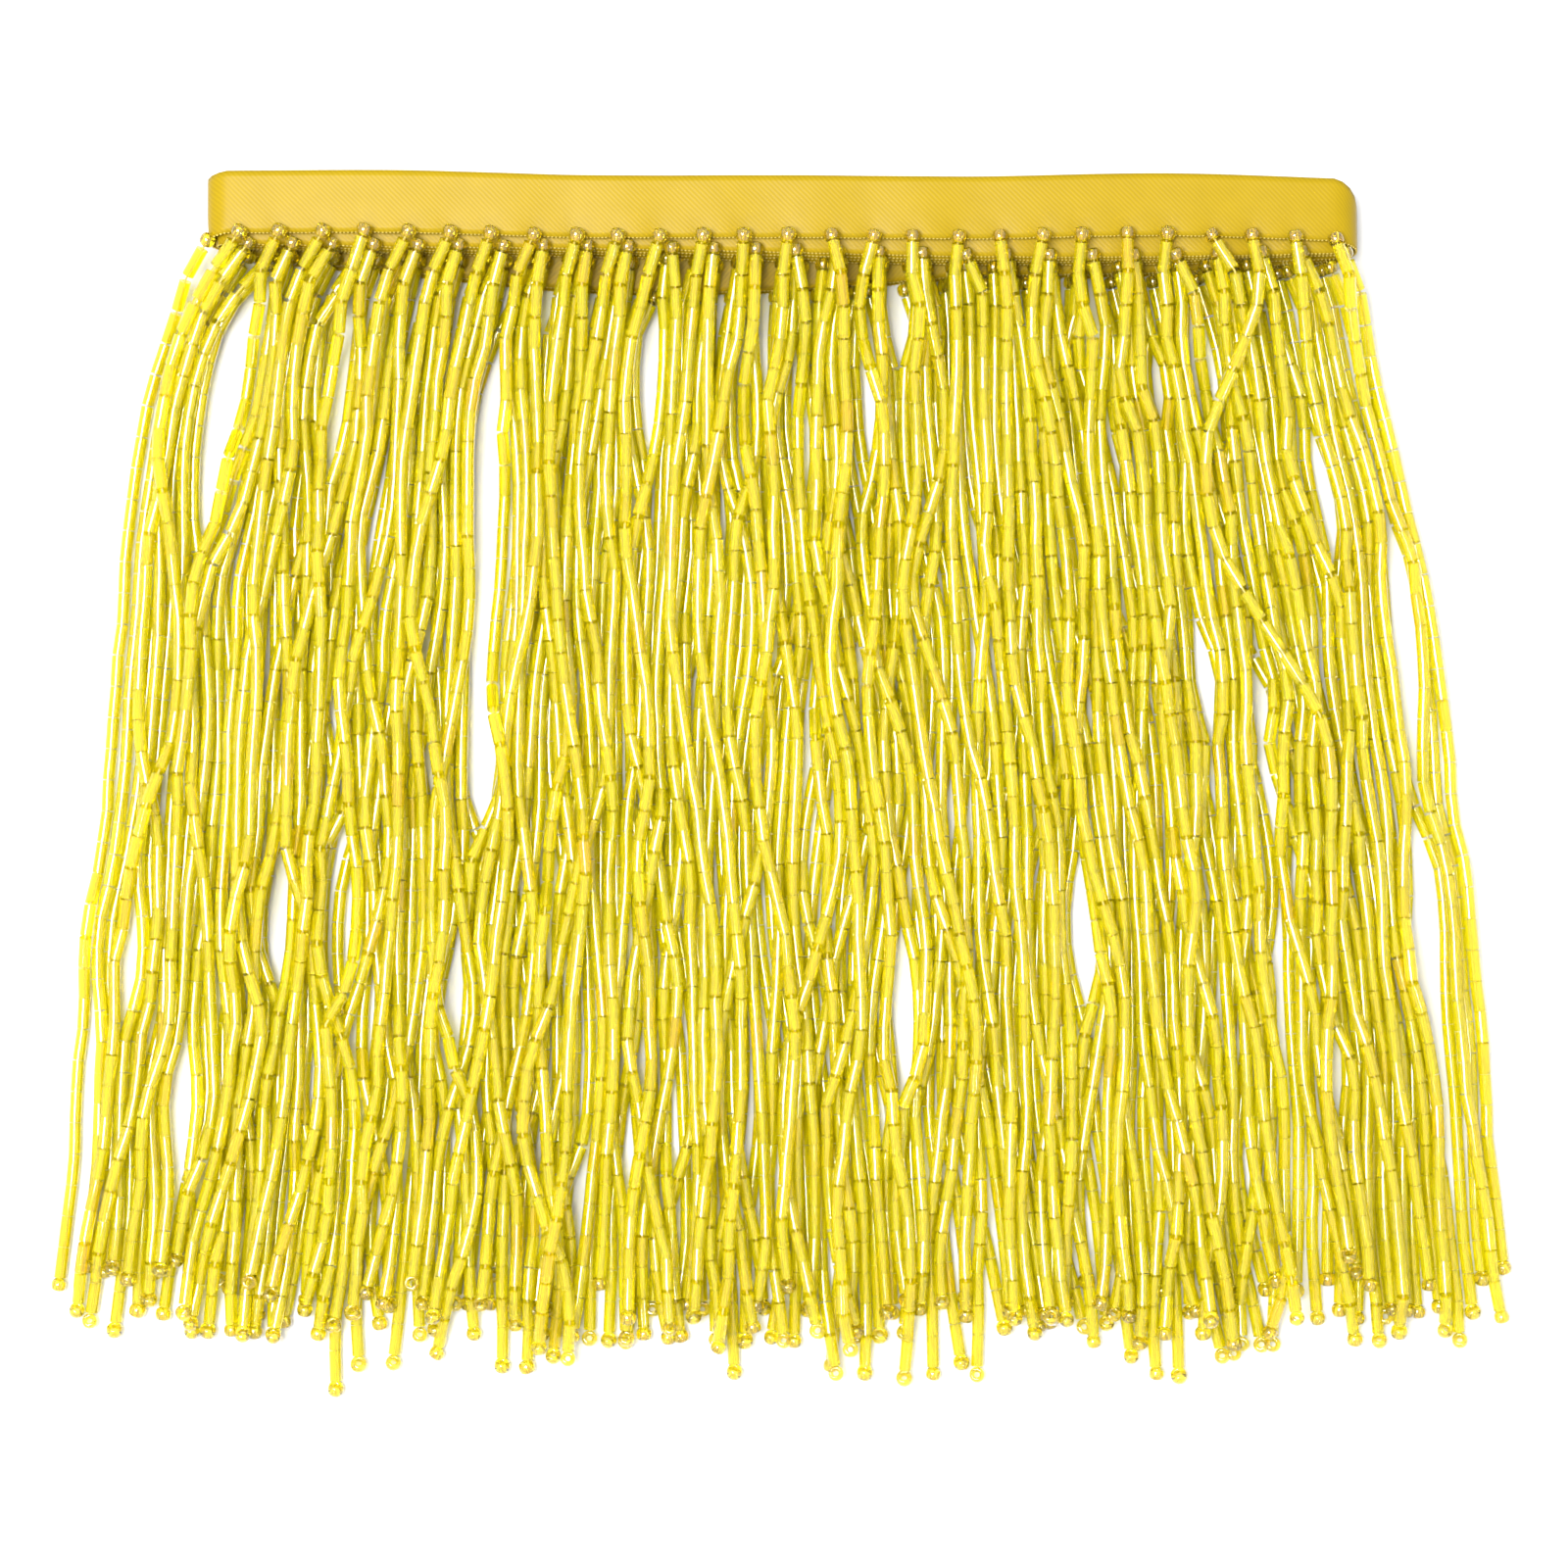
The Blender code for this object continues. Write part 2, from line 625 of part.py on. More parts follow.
def centre_on_origin(objects):
    """Move the meshes so that the middle of their box's underside is the origin."""
    points = np.array([vert.co for obj in objects for vert in obj.data.vertices])
    low, high = points.min(axis=0), points.max(axis=0)
    middle = (low + high) / 2
    for obj in objects:
        for vert in obj.data.vertices:
            vert.co.x -= middle[0]
            vert.co.y -= middle[1]
            vert.co.z -= low[2]


def main():
    for obj in list(bpy.data.objects):
        bpy.data.objects.remove(obj, do_unlink=True)
    course = winding()
    objects = [make_ribbon(course)]
    for layer, strands in solid_strands(course).items():
        objects.append(make_fringe(course, layer, strands))
    centre_on_origin(objects)


main()
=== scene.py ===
# Beaded fringe trim: satin ribbon wound flat, with glass beads strung on threads along its lower edge.
# Sizes are in millimetres until MM makes them metres. +X runs along the ribbon, +Y from the ends of the
# strands towards the ribbon, and +Z up. The lines of the strands are worked out on a layout whose
# origin is the middle of the view, and shift_to_frame moves them to the frame.

import math
import random
from collections import namedtuple

import bmesh
import bpy
import numpy as np
from bpy.props import FloatProperty, FloatVectorProperty, IntProperty, PointerProperty
from mathutils import Matrix, Vector


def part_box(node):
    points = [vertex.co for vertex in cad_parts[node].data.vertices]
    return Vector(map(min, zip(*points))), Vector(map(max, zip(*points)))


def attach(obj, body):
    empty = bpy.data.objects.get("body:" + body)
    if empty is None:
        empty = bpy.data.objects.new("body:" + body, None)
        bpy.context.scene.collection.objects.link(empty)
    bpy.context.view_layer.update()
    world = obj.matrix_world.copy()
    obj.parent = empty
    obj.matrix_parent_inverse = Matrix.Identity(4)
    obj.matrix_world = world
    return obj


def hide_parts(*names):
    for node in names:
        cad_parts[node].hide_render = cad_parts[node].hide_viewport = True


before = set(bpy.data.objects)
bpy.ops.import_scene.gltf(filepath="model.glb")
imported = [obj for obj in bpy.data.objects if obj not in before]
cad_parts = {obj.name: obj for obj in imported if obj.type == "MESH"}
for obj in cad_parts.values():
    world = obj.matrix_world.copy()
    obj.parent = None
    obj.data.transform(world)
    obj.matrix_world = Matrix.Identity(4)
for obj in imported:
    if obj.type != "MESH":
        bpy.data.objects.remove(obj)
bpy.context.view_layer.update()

bl_info = {
    "name": "Beaded Fringe Trim",
    "version": (1, 0, 0),
    "blender": (4, 5, 0),
    "location": "View3D > Sidebar > Trim",
    "description": "Makes a wound ribbon with a fringe of glass bugle beads",
    "category": "Add Mesh",
}

MM = 0.001
SEED = 41
LOOKS_SEED = 7

# The ribbon: its cut length, its width, and how its layers lie
TRIM_LENGTH = 1280.0
RIBBON_WIDTH = 10.0
CLOTH = 1.0
LAYER_PITCH = 1.32
LEFT_FOLD_X = -89.8
RIGHT_FOLD_X = 88.6
OUTER_END_X = -88.0
LAYER_STEPS = 10
FOLD_STEPS = 6

# The strip of edge that carries the strands, and the cut that parts it from the ribbon
STRIP_WIDTH = 1.2
PARTING_CUT = 0.3

# The strands as beads
BEAD_STEP = 5.15
BEAD_RADIUS = 1.025
ROOT_PITCH = 6.8
ROOT_JITTER = 0.35
TIGHT_FOLD = 5.0
FOLD_CLEAR = 1.0
STRIP_END_CLEAR = 1.5
FRONT_FIRST_ROOT_X = -87.8

# Lower edge of each layer of ribbon, as y at the columns' x, from the layer on the surface up
EDGE_COLUMNS = (-93.0, -62.0, -31.0, 0.0, 31.0, 62.0, 93.0)
LOWER_EDGES = {
    1: (85.6, 82.8, 80.0, 80.1, 82.2, 82.8, 85.0),
    2: (86.7, 83.4, 80.3, 80.4, 82.6, 83.2, 85.3),
    3: (86.9, 86.0, 85.6, 84.9, 84.4, 84.5, 85.4),
    4: (87.0, 86.2, 85.9, 85.2, 84.6, 84.7, 85.5),
    5: (87.1, 86.4, 86.1, 85.5, 84.8, 84.9, 85.6),
    6: (87.2, 86.7, 86.4, 85.8, 85.1, 85.1, 85.7),
    7: (88.7, 88.8, 88.0, 88.0, 87.8, 88.3, 87.3),
}

# The folds in the order of the winding, from its inner end: the layers that each joins, its side,
# where its edge strip is parted as a share of the fold, and how far its upper corner is drawn down
Fold = namedtuple("Fold", "start end side split corner_drop")
FOLDS = (
    Fold(4, 5, -1, 0.50, 0.0),
    Fold(5, 3, 1, 0.50, 0.4),
    Fold(3, 6, -1, 0.50, 0.2),
    Fold(6, 2, 1, 0.50, 1.0),
    Fold(2, 7, -1, 0.35, 0.3),
    Fold(7, 1, 1, 0.50, 3.6),
)

# How far the strands spread, as x of the outer strands at the columns' y
SPREAD_COLUMNS = (90.0, 80.0, 64.0, 48.0, 32.0, 16.0, 0.0, -32.0, -64.0, -90.0)
SPREAD_LEFT = (-93.8, -98.4, -103.9, -106.8, -108.6, -109.9, -111.1, -114.0, -117.0, -120.4)
SPREAD_RIGHT = (92.0, 93.9, 97.2, 101.2, 104.6, 107.4, 109.6, 113.2, 116.4, 120.0)

# Height at which the strands end, as y at the columns' x, and its scatter
END_COLUMNS = (-118.0, -90.0, -40.0, 20.0, 70.0, 118.0)
END_HEIGHTS = (-79.5, -86.0, -87.0, -88.5, -86.5, -85.0)
END_SCATTER = 4.2
END_LIMITS = (-9.0, 8.0)
LONGEST_STRAND = (7, 16)
LONGEST_DROP = 9.5

# The main gaps in the mat of strands: where each starts and ends, and how wide it opens
Opening = namedtuple("Opening", "top_x top_y low_x low_y width")
OPENINGS = (
    Opening(-87.5, 81.5, -95.0, 38.0, 4.6),
    Opening(-85.0, 84.0, -92.0, 36.0, 2.8),
    Opening(-73.5, 81.0, -72.5, 50.0, 2.0),
    Opening(-47.0, 71.0, -47.5, 20.0, 5.6),
    Opening(-48.0, 38.0, -49.5, -10.0, 4.2),
    Opening(-21.5, 80.0, -22.5, 53.0, 2.2),
    Opening(-6.8, 72.0, -6.6, 46.0, 1.8),
    Opening(2.0, 68.0, 3.4, 48.0, 2.2),
    Opening(13.6, 80.5, 12.8, 46.0, 2.2),
    Opening(18.8, 81.5, 19.6, 69.0, 2.6),
    Opening(66.4, 77.0, 69.4, 57.0, 2.2),
    Opening(59.0, 70.5, 61.2, 60.0, 2.2),
    Opening(50.0, 78.0, 49.6, 62.0, 2.0),
    Opening(83.0, 60.0, 90.5, 34.0, 3.4),
    Opening(99.5, 43.0, 103.0, -3.0, 2.2),
    Opening(76.0, 22.0, 78.6, 9.0, 2.0),
    Opening(68.4, 25.0, 69.4, 8.0, 1.8),
    Opening(105.6, -6.0, 102.0, -35.0, 2.0),
    Opening(47.6, -12.0, 49.8, -38.0, 1.8),
    Opening(19.2, -24.0, 19.8, -50.0, 2.4),
    Opening(89.4, -38.0, 90.0, -54.0, 1.4),
    Opening(-71.6, -6.0, -73.0, -38.0, 3.2),
    Opening(-82.0, -12.0, -82.6, -34.0, 2.4),
    Opening(-106.4, -14.0, -106.6, -40.0, 2.2),
    Opening(-97.4, -42.0, -98.6, -62.0, 2.8),
    Opening(-53.0, -26.0, -55.0, -48.0, 2.2),
)
OPENING_REACH = 8.0
OPENING_BLUNTNESS = 0.7
OPENING_COST = 3.0

# Single strands that stray over the others: layer, number in it from the left, the stretch, the shift
Stray = namedtuple("Stray", "layer number top_y low_y shift")
STRAYS = (
    Stray(7, 25, 88.0, 4.0, -14.5),
    Stray(7, 7, 66.0, -4.0, -6.5),
    Stray(7, 1, 58.0, -14.0, 5.5),
    Stray(6, 16, 84.0, 28.0, 4.5),
    Stray(7, 19, 30.0, -60.0, 5.0),
    Stray(6, 9, -20.0, -88.0, -6.0),
)

# How the strands sway: the reach of the sway they share and of each one's own, how it grows with
# the depth below the ribbon, and how little of it the mat's outer strands have
SHARED_SWAY = 2.2
OWN_SWAY = 1.1
END_DRIFT = 2.2
SWAY_DEPTH = 45.0
KINK = 0.16
SWAY_SLANT = 0.9
FRINGE_LENGTH = 175.0
LEAN = 0.985
RIM_FREEDOM = 0.1
FREEDOM_RISE = 8.0
MOST_BEADS = 40

# How a strand settles beside those under it: the widest step aside, its grid and its costs
SETTLE_REACH = 3.0
SETTLE_STEP = 0.25
BEND_COST = 1.2
STEP_COST = 0.06
STEEPEST = 2.1
BEAD_SAMPLES = (-2.0, -0.7, 0.7, 2.0)

# The grid of heights over the surface
GRID_LEFT = -135.0
GRID_TOP = 100.0
GRID_DX = 0.25
GRID_DY = 0.5
GRID_SHAPE = (412, 1081)

# Where a strand hangs from its seed bead: on the ribbon's face in the two front layers, else under
# its edge, as the seed's distance below the edge and its height over the cloth's middle
Hang = namedtuple("Hang", "below above")
FACE_HANG = Hang(-0.3, 1.1)
EDGE_HANG = Hang(0.9, 0.1)
FACE_LAYERS = (6, 7)

# The glass: how clear it is and how much it bends light, and the gloss that lies over it
Glass = namedtuple("Glass", "name clearness bending")
BUGLE_GLASS = Glass("bugle_glass", 0.84, 1.14)
SEED_GLASS = Glass("seed_glass", 0.96, 1.36)
GLASS_ROUGHNESS = 0.02
GLOSS_ROUGHNESS = 0.03
GLOSS_BENDING = 1.65
DEEP_PATCH_SHARE = 0.3
SHADE_SPREAD = 0.12
ODD_BEAD_SHARE = 0.02
ODD_BEAD_SHADE = 0.45
SEED_SEAT = 1.06

# How the cloth is drawn in at a root: its reach along the ribbon and across it
DRAWN_REACH = 1.3
DRAWN_SHARE = 0.45
DRAWN_LIFT = 0.22
FAR_FROM_ROOTS = 24.0

# How often light may bounce between and through the beads
BOUNCES = {
    "max_bounces": 8,
    "transmission_bounces": 8,
    "transparent_max_bounces": 8,
    "diffuse_bounces": 2,
    "glossy_bounces": 3,
}

Root = namedtuple("Root", "layer along x z edge")
Strand = namedtuple("Strand", "root seed joints")


class BeadSettings(bpy.types.PropertyGroup):
    bugle_length: FloatProperty(
        name="Bugle length", description="Length of a bugle bead, in millimetres",
        default=4.98, min=2.0)
    bugle_width: FloatProperty(
        name="Bugle width", description="Outer diameter of a bugle bead, in millimetres", default=2.05)
    bugle_hole: FloatProperty(
        name="Bugle hole", description="Diameter of a bugle bead's hole, in millimetres", default=0.9)
    bugle_sides: IntProperty(
        name="Bugle sides", description="Number of sides that a round bead is made of",
        default=10, min=6)
    seed_width: FloatProperty(
        name="Seed width", description="Outer diameter of a seed bead, in millimetres", default=2.7)
    seed_length: FloatProperty(
        name="Seed length", description="Length of a seed bead along its hole, in millimetres",
        default=1.95)
    seed_hole: FloatProperty(
        name="Seed hole", description="Diameter of a seed bead's hole, in millimetres", default=0.85)
    colour: FloatVectorProperty(
        name="Glass colour", description="Colour of the glass", subtype="COLOR", size=3,
        default=(1.0, 0.91, 0.007), min=0.0, max=1.0)
    seed_colour: FloatVectorProperty(
        name="Seed glass colour", description="Colour of the seed beads' glass",
        subtype="COLOR", size=3,
        default=(0.95, 0.80, 0.02), min=0.0, max=1.0)
    deep_colour: FloatVectorProperty(
        name="Deep colour", description="Colour of the odd darker bead", subtype="COLOR", size=3,
        default=(0.97, 0.74, 0.005), min=0.0, max=1.0)


class RibbonSettings(bpy.types.PropertyGroup):
    thickness: FloatProperty(
        name="Cloth thickness", description="Thickness of the satin, in millimetres", default=0.35)
    step: FloatProperty(
        name="Step", description="Distance between sections along the ribbon, in millimetres",
        default=1.36)
    across: IntProperty(
        name="Faces across", description="Number of faces across the ribbon", default=10, min=4)
    pucker: FloatProperty(
        name="Pucker depth", description="How deep each stitch draws the cloth in, in millimetres",
        default=0.28)
    wave: FloatProperty(
        name="Wave height", description="Height of the soft waves along the ribbon, in millimetres",
        default=0.16)
    colour: FloatVectorProperty(
        name="Satin colour", description="Colour of the satin", subtype="COLOR", size=3,
        default=(0.265, 0.178, 0.003), min=0.0, max=1.0)


class ThreadSettings(bpy.types.PropertyGroup):
    width: FloatProperty(
        name="Thread width", description="Width of the doubled thread, in millimetres", default=0.34)
    stitch_width: FloatProperty(
        name="Stitch width", description="Width of a single thread, in millimetres", default=0.2)
    loop_pitch: FloatProperty(
        name="Loop pitch", description="Distance between the ribbon's edge loops, in millimetres",
        default=0.62)
    loop_size: FloatProperty(
        name="Loop size", description="Width of one edge loop, in millimetres", default=0.42)
    colour: FloatVectorProperty(
        name="Thread colour", description="Colour of the thread", subtype="COLOR", size=3,
        default=(0.55, 0.42, 0.09), min=0.0, max=1.0)


class StageSettings(bpy.types.PropertyGroup):
    lens: FloatProperty(
        name="Lens", description="Focal length, in millimetres", default=85.0)
    view_width: FloatProperty(
        name="View width", description="Width of the view at the trim, in millimetres", default=256.0)
    daylight: FloatProperty(
        name="Daylight", description="Strength of the even white light", default=1.2)
    key: FloatProperty(
        name="Key light", description="Power of the large soft light, in watts", default=17.5)
    sparkle: FloatProperty(
        name="Sparkle lights", description="Power of each of the two small lights, in watts",
        default=0.6)
    floor: FloatVectorProperty(
        name="Floor colour", description="Colour of the floor", subtype="COLOR", size=3,
        default=(0.6, 0.6, 0.6), min=0.0, max=1.0)


def through(columns, values, x):
    """Value at x of a smooth curve through the table's columns."""
    x = min(max(x, min(columns)), max(columns))
    points = sorted(zip(columns, values))
    i = max(k for k in range(len(points) - 1) if points[k][0] <= x)
    (x0, y0), (x1, y1) = points[i], points[i + 1]
    before = points[max(i - 1, 0)]
    after = points[min(i + 2, len(points) - 1)]
    slope0 = (y1 - before[1]) / (x1 - before[0])
    slope1 = (after[1] - y0) / (after[0] - x0)
    t = (x - x0) / (x1 - x0)
    span = x1 - x0
    lift0 = (2 * t ** 3 - 3 * t ** 2 + 1) * y0 + (t ** 3 - 2 * t ** 2 + t) * span * slope0
    lift1 = (3 * t ** 2 - 2 * t ** 3) * y1 + (t ** 3 - t ** 2) * span * slope1
    return lift0 + lift1


def layer_z(layer):
    """Height of the middle of a layer of ribbon."""
    return CLOTH / 2 + (layer - 1) * LAYER_PITCH


def winding():
    """The ribbon's course from its inner end, as (kind, length, start x, direction, layer or fold)."""
    reach = RIGHT_FOLD_X - LEFT_FOLD_X
    folds = [math.pi * abs(layer_z(f.end) - layer_z(f.start)) / 2 for f in FOLDS]
    outer = RIGHT_FOLD_X - OUTER_END_X
    inner = TRIM_LENGTH - sum(folds) - (len(FOLDS) - 1) * reach - outer
    lengths = [inner] + [reach] * (len(FOLDS) - 1) + [outer]
    course = []
    layers = [f.start for f in FOLDS] + [FOLDS[-1].end]
    x = LEFT_FOLD_X + inner
    for i, layer in enumerate(layers):
        direction = -1 if i % 2 == 0 else 1
        course.append(("layer", lengths[i], x, direction, layer))
        x += direction * lengths[i]
        if i < len(FOLDS):
            course.append(("fold", folds[i], x, direction, FOLDS[i]))
    return course


def station(course, along):
    """Middle of the cloth, its direction and its edges' y at a length along the ribbon."""
    for kind, length, x, direction, what in course:
        if along <= length or (kind == "layer" and what == FOLDS[-1].end):
            break
        along -= length
    if kind == "layer":
        x += direction * along
        low = through(EDGE_COLUMNS, LOWER_EDGES[what], x)
        return x, layer_z(what), (direction, 0.0), low, low + RIBBON_WIDTH
    share = along / length
    start, end = layer_z(what.start), layer_z(what.end)
    turn = math.pi * share
    rise = (end - start) / 2
    out = abs(rise) * math.sin(turn)
    heading = (what.side * math.cos(turn), math.copysign(math.sin(turn), rise))
    low = sum(
        through(EDGE_COLUMNS, LOWER_EDGES[layer], x) * part
        for layer, part in ((what.start, 1 - share), (what.end, share))
    )
    upper = low + RIBBON_WIDTH - what.corner_drop * (1 - abs(math.cos(turn)))
    return x + what.side * out, (start + end) / 2 - rise * math.cos(turn), heading, low, upper


def layer_spans(course):
    """Length along the ribbon at which each layer's edge strip starts and ends."""
    spans, along, start = {}, 0.0, 0.0
    for kind, length, x, direction, what in course:
        if kind == "fold":
            spans[what.start] = (start, along + what.split * length)
            start = along + what.split * length
        along += length
    spans[FOLDS[-1].end] = (start, along)
    return spans


def roots(course, chance):
    """Where the strands are sewn on, layer by layer from the surface up, left to right."""
    front = sum(length for _, length, *_ in course[:-3]) + FRONT_FIRST_ROOT_X - LEFT_FOLD_X
    first = front % ROOT_PITCH
    inner_folds = []
    along = 0.0
    for kind, length, *_ in course:
        if kind == "fold" and length < TIGHT_FOLD:
            inner_folds.append((along - FOLD_CLEAR, along + length + FOLD_CLEAR))
        along += length
    spans = layer_spans(course)
    found = {layer: [] for layer in spans}
    for i in range(int((TRIM_LENGTH - first) / ROOT_PITCH) + 1):
        place = first + i * ROOT_PITCH + chance.uniform(-ROOT_JITTER, ROOT_JITTER)
        if any(low < place < high for low, high in inner_folds):
            continue
        for layer, (start, end) in spans.items():
            if start + STRIP_END_CLEAR < place < end - STRIP_END_CLEAR:
                x, z, _, low, _ = station(course, place)
                found[layer].append(Root(layer, place, x, z, low))
    return {layer: sorted(found[layer], key=lambda root: root.x) for layer in sorted(found)}


def waves(chance, count, longest, shortest):
    """A few sine waves of chance length and phase, as (wave number, phase, weight)."""
    lengths = [shortest * (longest / shortest) ** chance.random() for _ in range(count)]
    return [(2 * math.pi / length, chance.uniform(0, 2 * math.pi), count ** -0.5) for length in lengths]


def sway(wave_list, place):
    return sum(weight * math.sin(number * place + phase) for number, phase, weight in wave_list)


def opened(points):
    """The line held to one side of each gap in the mat that it passes."""
    for gap in OPENINGS:
        beside = []
        for i, (x, y) in enumerate(points):
            share = (gap.top_y - y) / (gap.top_y - gap.low_y)
            if 0 < share < 1:
                beside.append((i, x - gap.top_x - share * (gap.low_x - gap.top_x), share))
        side = math.copysign(1.0, sum(off for _, off, _ in beside))
        for i, off, share in beside:
            grown = math.sin(math.pi * share) ** OPENING_BLUNTNESS
            half = (gap.width / 2 + BEAD_RADIUS) * grown
            off *= side
            if off > OPENING_REACH:
                continue
            push = half * (1 - max(off, 0.0) / OPENING_REACH)
            if off < 0:
                push -= off * grown
            points[i] = (points[i][0] + side * push, points[i][1])
    return points


def nominal_line(root, number, shared, chance):
    """Points a bead apart that a strand would follow on bare ground, from its root down."""
    own = waves(chance, 3, 170.0, 55.0)
    drift = chance.gauss(0.0, END_DRIFT)
    scatter = min(max(chance.gauss(0.0, END_SCATTER), END_LIMITS[0]), END_LIMITS[1])
    kinks = [chance.gauss(0.0, KINK) for _ in range(MOST_BEADS)]
    if (root.layer, number) == LONGEST_STRAND:
        scatter = -LONGEST_DROP
    share = min(max((root.x - SPREAD_LEFT[0]) / (SPREAD_RIGHT[0] - SPREAD_LEFT[0]), 0.0), 1.0)
    freedom = min(1.0, FREEDOM_RISE * min(share, 1.0 - share) + RIM_FREEDOM)
    stray = [s for s in STRAYS if (s.layer, s.number) == (root.layer, number)]
    points = [(root.x, root.edge)]
    kink = 0.0
    for i in range(MOST_BEADS):
        y = root.edge - (i + 1) * BEAD_STEP * LEAN
        depth = root.edge - y
        grown = freedom * min(depth / SWAY_DEPTH, 1.0) ** 1.5
        left = through(SPREAD_COLUMNS, SPREAD_LEFT, y)
        right = through(SPREAD_COLUMNS, SPREAD_RIGHT, y)
        x = root.x + (1 - share) ** 2 * (left - SPREAD_LEFT[0]) + share ** 2 * (right - SPREAD_RIGHT[0])
        x += grown * (SHARED_SWAY * sway(shared, y + SWAY_SLANT * root.x) + OWN_SWAY * sway(own, y))
        x += freedom * drift * (depth / FRINGE_LENGTH) ** 1.5
        kink = 0.5 * kink + kinks[i]
        x += kink
        if stray:
            along = (stray[0].top_y - y) / (stray[0].top_y - stray[0].low_y)
            if 0 < along < 1:
                x += stray[0].shift * math.sin(math.pi * along) ** 2
        if y < through(END_COLUMNS, END_HEIGHTS, x) + scatter:
            break
        points.append((x, y))
    return points if stray else opened(points)


def row_of(y):
    return int(round((GRID_TOP - y) / GRID_DY))


def column_of(x):
    return np.clip(np.round((np.asarray(x) - GRID_LEFT) / GRID_DX).astype(int), 0, GRID_SHAPE[1] - 1)


def opening_cost():
    """Grid of what it costs a strand to lie outside the mat or in one of its gaps."""
    cost = np.zeros(GRID_SHAPE)
    for row in range(GRID_SHAPE[0]):
        y = GRID_TOP - row * GRID_DY
        cost[row, :column_of(through(SPREAD_COLUMNS, SPREAD_LEFT, y))] = OPENING_COST
        cost[row, column_of(through(SPREAD_COLUMNS, SPREAD_RIGHT, y)):] = OPENING_COST
    for gap in OPENINGS:
        for row in range(row_of(gap.top_y), row_of(gap.low_y)):
            share = (GRID_TOP - row * GRID_DY - gap.top_y) / (gap.low_y - gap.top_y)
            middle = gap.top_x + share * (gap.low_x - gap.top_x)
            grown = math.sin(math.pi * min(max(share, 0.0), 1.0)) ** OPENING_BLUNTNESS
            half = (gap.width / 2 + BEAD_RADIUS) * grown
            cost[row, column_of(middle - half):column_of(middle + half) + 1] = OPENING_COST
    return cost


def settled(points, rest, cost):
    """The line moved aside, bead by bead, to where it lies lowest without sharp bends."""
    shifts = np.arange(-SETTLE_REACH, SETTLE_REACH + SETTLE_STEP / 2, SETTLE_STEP)
    bend = BEND_COST * (shifts[:, None] - shifts[None, :]) ** 2
    total = np.where(np.abs(shifts) < SETTLE_STEP / 2, 0.0, 1e6)
    back = []
    for x, y in points[1:]:
        rows = [row_of(y + step) for step in BEAD_SAMPLES]
        columns = column_of(x + shifts)
        here = (rest[rows][:, columns] + cost[rows][:, columns]).mean(axis=0) + STEP_COST * shifts ** 2
        ways = total[:, None] + bend
        back.append(ways.argmin(axis=0))
        total = ways.min(axis=0) + here
    pick = int(total.argmin())
    picks = [pick]
    for choice in reversed(back):
        pick = int(choice[pick])
        picks.append(pick)
    return [(x + shifts[p], y) for (x, y), p in zip(points, reversed(picks))]


def strung(needed, marks):
    """Lowest heights at the marks whose straight runs clear the needed heights, row by row."""
    heights = [needed[mark] for mark in marks]
    for _ in range(60):
        worst = 0.0
        for i in range(len(marks) - 1):
            a, b = marks[i], marks[i + 1]
            t = np.arange(b - a + 1) / (b - a)
            short = needed[a:b + 1] - ((1 - t) * heights[i] + t * heights[i + 1])
            k = int(short.argmax())
            if short[k] < 1e-4:
                continue
            worst = max(worst, short[k])
            spread = (1 - t[k]) ** 2 + t[k] ** 2
            heights[i] += short[k] * (1 - t[k]) / spread
            heights[i + 1] += short[k] * t[k] / spread
        if worst < 1e-3:
            break
    return heights


def by_row(points):
    """Rows that a line crosses, its x on each, and the rows of its points."""
    marks = [row_of(y) for _, y in points]
    rows = np.arange(marks[0], marks[-1] + 1)
    xs = np.interp(rows, marks, [x for x, _ in points])
    return rows, xs, [mark - marks[0] for mark in marks]


def eased(heights):
    """The heights with no drop from joint to joint steeper than a bead can lie."""
    for i in range(1, len(heights)):
        heights[i] = max(heights[i], heights[i - 1] - STEEPEST)
    return heights


def stamped(rest, rows, xs, zs):
    """Raise the grid of heights by a round strand, to where the middle of the next one would rest."""
    reach = int(2 * BEAD_RADIUS / GRID_DX) + 1
    columns = column_of(xs)[:, None] + np.arange(-reach, reach + 1)[None, :]
    away = (columns * GRID_DX + GRID_LEFT - xs[:, None]) ** 2
    lift = zs[:, None] + np.sqrt(np.maximum((2 * BEAD_RADIUS) ** 2 - away, 0.0))
    columns = np.clip(columns, 0, GRID_SHAPE[1] - 1)
    lift = np.where(away < (2 * BEAD_RADIUS) ** 2, lift, 0.0)
    rest[rows[:, None], columns] = np.maximum(rest[rows[:, None], columns], lift)


def bead_lines(course):
    """Every strand as a line of bead ends (x, y), laid from the surface up as round beads."""
    chance = random.Random(SEED)
    rest = np.full(GRID_SHAPE, BEAD_RADIUS)
    cost = opening_cost()
    lines = {}
    for layer, layer_roots in roots(course, chance).items():
        shared = waves(chance, 4, 260.0, 90.0)
        lines[layer] = []
        for number, root in enumerate(layer_roots):
            points = settled(nominal_line(root, number, shared, chance), rest, cost)
            rows, xs, marks = by_row(points)
            heights = eased(strung(rest[rows, column_of(xs)], marks))
            stamped(rest, rows, xs, np.interp(np.arange(len(rows)), marks, heights))
            lines[layer].append((root, points))
    return lines


def slid(points, distance):
    """The line's points moved along it by a distance, the last one straight on."""
    ends = points + [(2 * points[-1][0] - points[-2][0], 2 * points[-1][1] - points[-2][1])]
    t = distance / BEAD_STEP
    return [(x0 + t * (x1 - x0), y0 + t * (y1 - y0)) for (x0, y0), (x1, y1) in zip(ends, ends[1:])]


